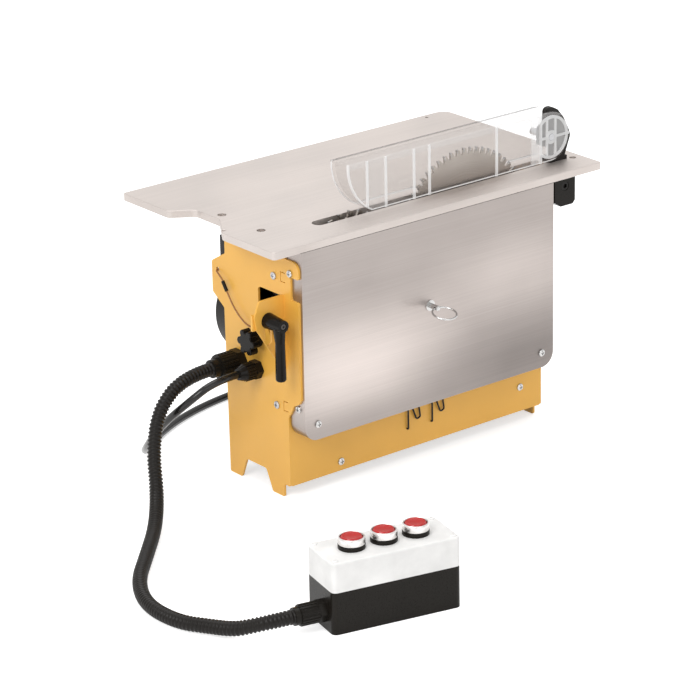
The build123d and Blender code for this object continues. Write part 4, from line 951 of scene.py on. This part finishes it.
@dataclass
class ControlBox:
    """The push-button box on the floor: turned mouldings for its three buttons."""

    corner: Span = (-363.2, -354.3)
    turn: float = -12.7
    length: float = 145.0
    depth: float = 60.0
    height: float = 78.0
    pitch: float = 36.2
    collar_height: float = 5.2
    bezel_height: float = 7.3

    def place(self, along: float, across: float, height: float) -> Point:
        """Give a point of the box in the machine's frame.

        Args:
            along, across, height: the point on the box, from its front left corner, in millimetres.

        Returns:
            The point in millimetres.
        """
        turn = math.radians(self.turn)
        x = self.corner[0] + along * math.cos(turn) - across * math.sin(turn)
        y = self.corner[1] + along * math.sin(turn) + across * math.cos(turn)
        return (x, y, height)

    def buttons(self) -> list[Point]:
        """Give the middle of each button on the lid, from left to right."""
        alongs = [self.length / 2 + step * self.pitch for step in (-1, 0, 1)]
        return [self.place(along, self.depth / 2, self.height) for along in alongs]

    def build(self, seated: SeatedPieces) -> None:
        """Make the collars, bezels and caps, and set them on the lid.

        Args:
            seated: the tree that sets copies on seats.
        """
        seam = self.collar_height
        top = seam + self.bezel_height
        collar = [
            (11.3, 0), (14.2, 0), (14.2, seam - 0.9), (13.9, seam - 0.3), (13.4, seam), (11.3, seam),
            (11.3, 0),
        ]
        bezel = [
            (11.9, seam), (13.9, seam), (13.9, top - 2.2), (13.7, top - 1.1), (13.2, top - 0.3), (12.7, top),
            (12.3, top - 0.1), (11.9, top - 0.6), (11.9, seam),
        ]
        cap = [
            (0, top - 2.3), (11.4, top - 2.3), (11.4, top - 1.1), (10.7, top - 1.0), (10.4, top + 0.2),
            (10.0, top + 0.65), (9.4, top + 0.8), (8.6, top + 0.6), (0, top + 0.5),
        ]
        for name, profile, node, finish in (
            ("collar_rings", collar, "button_collars", Finish.BLACK_PLASTIC),
            ("bezel_rings", bezel, "button_bezels", Finish.SATIN),
        ):
            mesh = lathe(name + "_master", profile)
            sharpen(mesh)
            piece = seated.build(name, mesh, [(point, UP) for point in self.buttons()], finish)
            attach(piece, "machine")
            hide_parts(node)
        for point, label in zip(self.buttons(), ("left", "middle", "right")):
            mesh = lathe(label + "_cap", cap)
            mesh.transform(Matrix.Translation(metres(point)))
            piece = new_object(label + "_cap", mesh)
            piece.data.materials.append(Finish.RED_PLASTIC.material())
            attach(piece, label + "_push")
            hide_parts(label + "_button")
        log.info("control box: collars, bezels and caps")


@dataclass
class ControlConduit:
    """The ribbed black conduit from the machine's left end to the control box."""

    crest: float = 7.9
    root: float = 6.7
    ribs: int = 140
    sides: int = 28
    floor: float = 8.0
    length: float = 0.59
    exit: Point = (-224.0, 29.5, 139.0)
    gland_reach: float = 34.0
    gland_y: float = 22.0
    gland_z: float = 20.0
    last_straight: float = 26.0

    def route(self, box: ControlBox) -> list[Point]:
        """Give the conduit's route.

        Args:
            box: the control box that it ends in.

        Returns:
            The route's points in millimetres.
        """
        return [
            self.exit,
            (-262.0, 29.5, 139.0),
            (-298.0, 27.0, 112.0),
            (-313.0, 19.0, 70.0),
            (-323.0, 0.0, 30.0),
            (-352.0, -36.0, 10.0),
            (-402.0, -88.0, self.floor),
            (-446.0, -134.0, self.floor),
            (-472.0, -186.0, self.floor),
            (-471.0, -238.0, self.floor),
            (-454.0, -268.0, 8.6),
            (-443.5, -296.0, 12.0),
            (-432.0, -310.0, 17.0),
            box.place(-self.gland_reach - self.last_straight, self.gland_y, self.gland_z),
            box.place(-self.gland_reach, self.gland_y, self.gland_z),
        ]

    def build(self, box: ControlBox) -> None:
        """Make the ribbed tube along its route.

        Args:
            box: the control box that it ends in.
        """
        guide = new_object("conduit_guide", nurbs_line("conduit_guide", self.route(box)))
        line = bpy.data.meshes.new_from_object(guide.evaluated_get(bpy.context.evaluated_depsgraph_get()))
        path = [tuple(vertex.co) for vertex in line.vertices]
        bpy.data.objects.remove(guide)
        piece = new_object("ribbed_conduit", RibbedTube().run(
            "ribbed_conduit", line, Finish.CONDUIT,
            Ribs=self.ribs, Crest=self.crest * MM, Root=self.root * MM, Sides=self.sides,
        ))
        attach(piece, "machine")
        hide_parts("control_conduit")
        tuple(metres(self.exit))
        log.info("control conduit: %d ribs", self.ribs)


@dataclass
class MainsLead:
    """The mains lead: out of the left end, down behind the machine, and wound into a coil."""

    radius: float = 4.25
    floor: float = 4.35
    exit: Point = (-212.0, -3.0, 139.0)
    coil_x: float = 38.0
    coil_y: float = 176.0
    coil_outer: float = 56.0
    coil_step: float = 4.5
    half_turns: int = 5
    coil_lift: float = 9.2
    lead_in: float = 58.0
    tail: float = 70.0
    points_each: int = 12
    length: float = 2.02

    def half_turn_sizes(self) -> list[Point]:
        """Work out the coil's half turns: inwards on the floor, then up, then outwards on top.

        Returns:
            Each half turn's radius, start height and end height in millimetres.
        """
        top = self.floor + self.coil_lift
        steps = range(self.half_turns)
        inward = [(self.coil_outer - step * self.coil_step, self.floor, self.floor) for step in steps]
        climb = self.coil_outer - self.half_turns * self.coil_step
        outward = [(climb + step * self.coil_step, top, top) for step in steps[1:]]
        return inward + [(climb, self.floor, top)] + outward

    def coil(self) -> list[Point]:
        """Work out the coil's control points, a little outside the turns that they draw.

        Returns:
            The points in millimetres.
        """
        points: list[Point] = []
        swell = 1 / math.cos(math.pi / self.points_each / 2)
        y = self.coil_y + self.coil_outer
        side = 1
        for radius, low, high in self.half_turn_sizes():
            middle = y - side * radius
            for step in range(self.points_each):
                angle = math.pi * (step + 0.5) / self.points_each
                points.append((
                    self.coil_x + side * swell * radius * math.sin(angle),
                    middle + side * swell * radius * math.cos(angle),
                    low + (high - low) * (1 - math.cos(angle)) / 2,
                ))
            y -= 2 * side * radius
            side = -side
        top = self.floor + self.coil_lift
        return points + [(self.coil_x + self.tail / 2, y, top), (self.coil_x + self.tail, y, top)]

    def route(self) -> list[Point]:
        """Give the lead's route from the machine to its plug.

        Returns:
            The route's points in millimetres.
        """
        return [
            self.exit,
            (-244.0, -3.0, 139.0),
            (-272.0, 6.0, 120.0),
            (-281.0, 36.0, 92.0),
            (-275.0, 74.0, 58.0),
            (-259.0, 112.0, 28.0),
            (-234.0, 148.0, 8.0),
            (-192.0, 182.0, self.floor),
            (-140.0, 209.0, self.floor),
            (-80.0, 226.0, self.floor),
            (self.coil_x - self.lead_in, self.coil_y + self.coil_outer, self.floor),
            *self.coil(),
        ]

    def build(self, plug: bpy.types.Object) -> None:
        """Make the lead as one smooth tube.

        Args:
            plug: the plug on its end; not used.
        """
        piece = new_object("mains_cable", nurbs_line("mains_cable", self.route(), self.radius * MM))
        piece.data.materials.append(Finish.RUBBER.material())
        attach(piece, "machine")
        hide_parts("mains_lead", "lead_coil")
        tuple(metres(self.exit))
        log.info("mains lead: %d control points", len(self.route()))


@dataclass(frozen=True)
class CrossHead:
    """A domed screw head with a cross recess: radius and rise in millimetres, the rest as shares of them."""

    radius: float
    rise: float
    arm: float = 0.14
    reach: float = 0.56
    floor: float = 0.45
    side: float = 0.45
    fullness: float = 0.98
    shoulder: float = 0.84
    draft: float = 0.8
    steps: int = 48

    def dome(self, x: float, y: float) -> Point:
        """Give the point of the dome over a place.

        Args:
            x, y: the place, in millimetres from the head's middle.

        Returns:
            The point in millimetres.
        """
        share = min(math.hypot(x, y) / self.radius, 1.0)
        bulge = math.sqrt(1 - (self.fullness * share) ** 2)
        return (x, y, self.rise * (self.side + (1 - self.side) * bulge))

    def mesh(self, name: str) -> bpy.types.Mesh:
        """Make the closed head, standing on the XY plane.

        Args:
            name: the mesh's name.

        Returns:
            The mesh.
        """
        arm, reach = self.arm * self.radius, self.reach * self.radius
        cross = [
            (reach, arm), (arm, arm), (arm, reach), (-arm, reach), (-arm, arm), (-reach, arm),
            (-reach, -arm), (-arm, -arm), (-arm, -reach), (arm, -reach), (arm, -arm), (reach, -arm),
        ]
        outer = [(self.radius * math.cos(a), self.radius * math.sin(a)) for a in angles(self.steps)]
        shape = bmesh.new()
        base = add_corners(shape, [(x, y, 0.0) for x, y in outer])
        rim = add_corners(shape, [self.dome(x, y) for x, y in outer])
        crown = add_corners(shape, [self.dome(self.shoulder * x, self.shoulder * y) for x, y in outer])
        bridge(shape, base, rim, crown)
        shape.faces.new(list(reversed(base)))
        top = add_corners(shape, [self.dome(x, y) for x, y in cross])
        depth = self.floor * self.rise
        bottom = add_corners(shape, [(self.draft * x, self.draft * y, depth) for x, y in cross])
        bridge(shape, top, bottom)
        shape.faces.new(bottom)
        edges = [shape.edges.get(pair) for loop in (crown, top) for pair in zip(loop, loop[1:] + loop[:1])]
        bmesh.ops.triangle_fill(shape, use_beauty=True, use_dissolve=False, edges=edges)
        return mesh_from(name, shape, smooth=False)


@dataclass
class CrossScrews:
    """Pan-head screws with a cross recess, on the cover, the left panel, the apron and the box lid."""

    head: CrossHead = CrossHead(4.2, 2.6)
    lid_head: CrossHead = CrossHead(3.0, 1.6)
    lid_inset: float = 6.0
    seats: tuple[Seat, ...] = (
        ((-164.0, -81.5, 92.0), (0, -1, 0)),
        ((161.0, -81.5, 92.0), (0, -1, 0)),
        ((-184.0, -64.4, 265.0), (-1, 0, 0)),
        ((-181.5, -70.9, 110.3), (-1, 0, 0)),
        ((-184.0, -36.0, 255.5), (-1, 0, 0)),
        ((-184.0, -36.0, 106.4), (-1, 0, 0)),
        ((-113.0, -55.5, 26.0), (0, -1, 0)),
        ((151.0, -55.5, 45.0), (0, -1, 0)),
    )
    dull: tuple[Point, ...] = ((-184.0, -36.0, 255.5), (-184.0, -36.0, 106.4))
    dull_radii: float = 1.5

    def build(self, seated: SeatedPieces, box: ControlBox) -> None:
        """Set the heads on their seats.

        Args:
            seated: the tree that sets copies on seats.
            box: the control box, whose lid has smaller screws.
        """
        lid_seats = [
            (box.place(along, across, box.height), UP)
            for along in (self.lid_inset, box.length - self.lid_inset)
            for across in (self.lid_inset, box.depth - self.lid_inset)
        ]
        for name, head, seats, node, finish in (
            ("cross_screws", self.head, self.seats, "pan_head_screws", Finish.BRIGHT),
            ("lid_screws", self.lid_head, lid_seats, "box_screws", Finish.WHITE_PLASTIC),
        ):
            piece = seated.build(name, head.mesh(name + "_master"), seats, finish)
            self.dull_heads(piece.data)
            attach(piece, "machine")
            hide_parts(node)
            log.info("%s: %d heads", name, len(seats))

    def dull_heads(self, mesh: bpy.types.Mesh) -> None:
        """Give the two heads on the panel's face a duller metal than the others.

        Args:
            mesh: the mesh that holds the heads.
        """
        places = [metres(place) for place in self.dull]
        near = self.dull_radii * self.head.radius * MM
        faces = [
            face for face in mesh.polygons if any((face.center - place).length < near for place in places)
        ]
        if faces:
            mesh.materials.append(Finish.CAST.material())
        for face in faces:
            face.material_index = len(mesh.materials) - 1


@dataclass
class BlockRing:
    """Equal tapered blocks in a ring round an axis, in millimetres.

    A block's size is outwards, round the ring and along the axis, and its shift is a share of the first two.
    Inner and outer are what its two ends keep of the size round the ring and along the axis.
    """

    name: str
    body: str
    centre: Point
    along: Point
    radius: float
    count: int
    size: Point
    finish: Finish
    bevel: float = 0.1
    shift: Span = (0.0, 0.0)
    inner: Span = (1.0, 1.0)
    outer: Span = (1.0, 1.0)
    rib_share: ClassVar[float] = 0.55
    rib_taper: ClassVar[Span] = (0.6, 1.0)

    @classmethod
    def tips(cls, blade: str, body: str, teeth: int) -> "BlockRing":
        """Give the brazed tips on a saw blade's teeth.

        Args:
            blade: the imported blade's node.
            body: the body that it turns with.
            teeth: how many teeth it has.

        Returns:
            The ring of tips.
        """
        low, high = (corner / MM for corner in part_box(blade))
        return cls(
            blade + "_tips", body, tuple((low + high) / 2), (0, -1, 0), (high.x - low.x) / 2, teeth,
            size=(5.0, 1.7, 2.9), finish=Finish.CARBIDE, bevel=0.12, shift=(-0.5, -0.42), inner=(1.0, 0.86),
        )

    @classmethod
    def ribs(
        cls, name: str, body: str, centre: Point, along: Point, radius: float, long: float, count: int,
        stand: float = 0.7, finish: Finish = Finish.BLACK_PLASTIC,
    ) -> "BlockRing":
        """Give ribs round a nut or a housing.

        Args:
            name, body: the piece's name and the body that it moves with.
            centre, along: the middle of the ribs' axis and its direction.
            radius, long, count: the ring's radius, the ribs' length and how many there are.
            stand: how far they stand out.
            finish: their finish.

        Returns:
            The ring of ribs.
        """
        wide = cls.rib_share * FULL_TURN * radius / count
        size = (2 * stand, wide, long)
        return cls(name, body, centre, along, radius, count, size, finish, outer=cls.rib_taper)

    def build(self, ring: PieceRing) -> None:
        """Make the blocks round their axis.

        Args:
            ring: the tree that sets copies in a ring.
        """
        shape = bmesh.new()
        bmesh.ops.create_cube(shape, size=1.0)
        for corner in shape.verts:
            x, y, z = corner.co
            across, along = self.inner if x < 0 else self.outer
            corner.co = metres((
                (x + self.shift[0]) * self.size[0],
                (y + self.shift[1]) * self.size[1] * across,
                z * self.size[2] * along,
            ))
        bmesh.ops.bevel(shape, geom=shape.edges[:], offset=self.bevel * MM, segments=1, affect="EDGES")
        block = mesh_from(self.name + "_block", shape, smooth=False)
        mesh = ring.run_copies(
            self.name, bpy.data.meshes.new("empty"), self.finish, block,
            Count=self.count, Radius=self.radius * MM,
        )
        turn = Vector(UP).rotation_difference(Vector(self.along)).to_matrix().to_4x4()
        mesh.transform(Matrix.Translation(metres(self.centre)) @ turn)
        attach(new_object(self.name, mesh), self.body)
        log.info("%s: %d blocks", self.name, self.count)


def block_rings(box: ControlBox) -> list[BlockRing]:
    """Give the blades' tips, the glands' grip ribs and the motor's fins.

    Args:
        box: the control box, whose gland has ribs.

    Returns:
        The rings, in the order that they are built in.
    """
    box_axis = tuple(Vector(box.place(1, 0, 0)) - Vector(box.place(0, 0, 0)))
    ribs = BlockRing.ribs
    return [
        BlockRing.tips("main_blade", "main_spindle", 60),
        BlockRing.tips("scoring_blade", "scoring_spindle", 24),
        ribs("conduit_gland_grip", "machine", (-204.0, 29.5, 139.0), (1, 0, 0), 13.5, 20.0, 24),
        ribs("lead_gland_grip", "machine", (-198.0, -3.0, 139.0), (1, 0, 0), 9.5, 11.0, 18),
        ribs("box_gland_grip", "machine", box.place(-18.0, 22.0, 20.0), box_axis, 10.8, 19.0, 20),
        ribs(
            "motor_fins", "carriage", (-82.0, 85.0, 154.0), (0, 1, 0), 46.0, 50.0, 36,
            stand=2.0, finish=Finish.BLACK_PAINT,
        ),
    ]


@dataclass
class LeverScrew:
    """The socket screw in the front of the clamp lever's hub."""

    centre: Point = (-206.0, -77.8, 214.0)
    radius: float = 3.3
    rise: float = 1.5
    chamfer: Span = (0.35, 0.4)
    key: float = 1.7
    key_floor: float = 0.3
    key_sides: int = 6
    steps: int = 48

    def ring(self, shape: bmesh.types.BMesh, radius: float, height: float, sides: int) -> Corners:
        """Add a round or straight-sided ring of corners, spread evenly over the steps.

        Args:
            shape: the shape to add to.
            radius: the distance of the ring's own corners from its middle, in millimetres.
            height: how far it stands out of the hub, in millimetres.
            sides: how many sides it has, or the number of steps where it is round.

        Returns:
            The corners.
        """
        half = math.pi / sides
        points = []
        for angle in angles(self.steps):
            reach = radius
            if sides < self.steps:
                reach *= math.cos(half) / math.cos((angle + half) % (2 * half) - half)
            x, y, z = self.centre
            points.append((x + reach * math.cos(angle), y - height, z + reach * math.sin(angle)))
        return add_corners(shape, points)

    def build(self) -> None:
        """Make the screw's head with its six-sided socket, and set it in the hub."""
        shape = bmesh.new()
        rings = [self.ring(shape, *sizes) for sizes in (
            (self.radius, 0.0, self.steps),
            (self.radius, self.rise - self.chamfer[1], self.steps),
            (self.radius - self.chamfer[0], self.rise, self.steps),
            (self.key, self.rise, self.key_sides),
            (self.key, self.key_floor, self.key_sides),
        )]
        bridge(shape, *rings)
        shape.faces.new(rings[0])
        shape.faces.new(rings[-1])
        piece = new_object("lever_cap_screw", mesh_from("lever_cap_screw", shape, smooth=False))
        piece.data.materials.append(Finish.DARK_STEEL.material())
        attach(piece, "lever")
        log.info("lever cap screw")


@dataclass
class CoilTie:
    """The plastic tie round the coil of mains lead."""

    centre: Point = (-8.0, 172.0, 9.2)
    reach: Span = (19.0, 10.2)
    wide: float = 7.0
    thick: float = 1.0
    squareness: float = 0.6
    lowest: float = 0.2
    steps: int = 40

    def ring(self, shape: bmesh.types.BMesh, grow: float, side: float) -> Corners:
        """Add one edge of the band, as a circle drawn out towards a rectangle and flat on the floor.

        Args:
            shape: the shape to add to.
            grow: how far outside the band's inner face it is, in millimetres.
            side: its place across the band, in millimetres.

        Returns:
            The corners.
        """
        points = []
        for angle in angles(self.steps):
            across, up = (
                math.copysign(abs(share) ** self.squareness, share) * (reach + grow)
                for share, reach in zip((math.cos(angle), math.sin(angle)), self.reach)
            )
            x, y, z = self.centre
            points.append((x + across, y + side, max(z + up, self.lowest)))
        return add_corners(shape, points)

    def build(self) -> None:
        """Make the tie as a flat band round the turns."""
        shape = bmesh.new()
        half = self.wide / 2
        corners = ((0.0, -half), (0.0, half), (self.thick, half), (self.thick, -half))
        rings = [self.ring(shape, grow, side) for grow, side in corners]
        bridge(shape, *rings, rings[0])
        piece = new_object("coil_tie", mesh_from("coil_tie", shape, smooth=False))
        piece.data.materials.append(Finish.BLACK_PLASTIC.material())
        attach(piece, "machine")
        log.info("coil tie")


class Dressing:
    """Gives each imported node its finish."""

    groups: ClassVar[dict[Finish, tuple[str, ...]]] = {
        Finish.YELLOW: ("left_end_panel", "right_end_panel", "front_apron", "clamp_arm"),
        Finish.TABLE: ("table_plate",),
        Finish.COVER: ("side_cover",),
        Finish.MAIN_BLADE: ("main_blade",),
        Finish.SCORING_BLADE: ("scoring_blade",),
        Finish.BRIGHT: ("pan_head_screws", "catch_sleeve", "catch_pin", "pull_ring"),
        Finish.SATIN: ("button_bezels",),
        Finish.MACHINED: (
            "guard_pivot_pin", "guide_rods", "carriage_plate", "arbor_bearings", "lift_rack", "main_arbor",
            "main_flanges", "scoring_arbor", "scoring_flanges", "motor_rotor", "motor_stator", "lever_stud",
            "pinion_shaft",
        ),
        Finish.CAST: (
            "rod_brackets", "bearing_housings", "slide_bushes", "main_pulley", "scoring_pulley",
            "motor_pulley",
        ),
        Finish.BLACK_PAINT: (
            "guard_post", "apron_hooks", "rear_panel", "motor_housing", "motor_end_cap", "socket_screws",
        ),
        Finish.BLACK_PLASTIC: (
            "stop_block", "conduit_gland", "mains_plug", "earth_sleeve", "box_base", "box_gland",
            "button_collars", "contact_blocks",
        ),
        Finish.GLOSS_BLACK: ("lead_gland", "clamp_lever", "star_knob"),
        Finish.CONDUIT: ("control_conduit",),
        Finish.RUBBER: ("mains_lead", "lead_coil", "drive_belt"),
        Finish.WHITE_PLASTIC: ("box_lid", "box_screws"),
        Finish.RED_PLASTIC: ("left_button", "middle_button", "right_button"),
        Finish.CLEAR: ("blade_guard",),
        Finish.WIRE: ("earth_wire",),
    }

    def __init__(self, nodes: dict[str, bpy.types.Object]) -> None:
        """Keep the nodes."""
        self.nodes = nodes

    def dress(self) -> None:
        """Put each finish in its nodes' material slots."""
        for finish, names in self.groups.items():
            for name in names:
                slots = self.nodes[name].material_slots
                if not slots:
                    self.nodes[name].data.materials.append(finish.material())
                for slot in slots:
                    slot.material = finish.material()
        log.info("dressed %d nodes", sum(len(names) for names in self.groups.values()))


def main() -> None:
    """Build the camera, the cords, the fittings, the finishes and the studio, in that order."""
    logging.basicConfig(level=logging.INFO, format="%(name)s: %(message)s")
    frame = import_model()
    PhotoCamera().build()
    seated, ring = SeatedPieces(), PieceRing()
    box = ControlBox()
    ControlConduit().build(box)
    MainsLead().build(frame["nodes"]["mains_plug"])
    CoilTie().build()
    LeverScrew().build()
    box.build(seated)
    CrossScrews().build(seated, box)
    for blocks in block_rings(box):
        blocks.build(ring)
    Dressing(frame["nodes"]).dress()
    Studio().build()


if __name__ == "__main__":
    main()
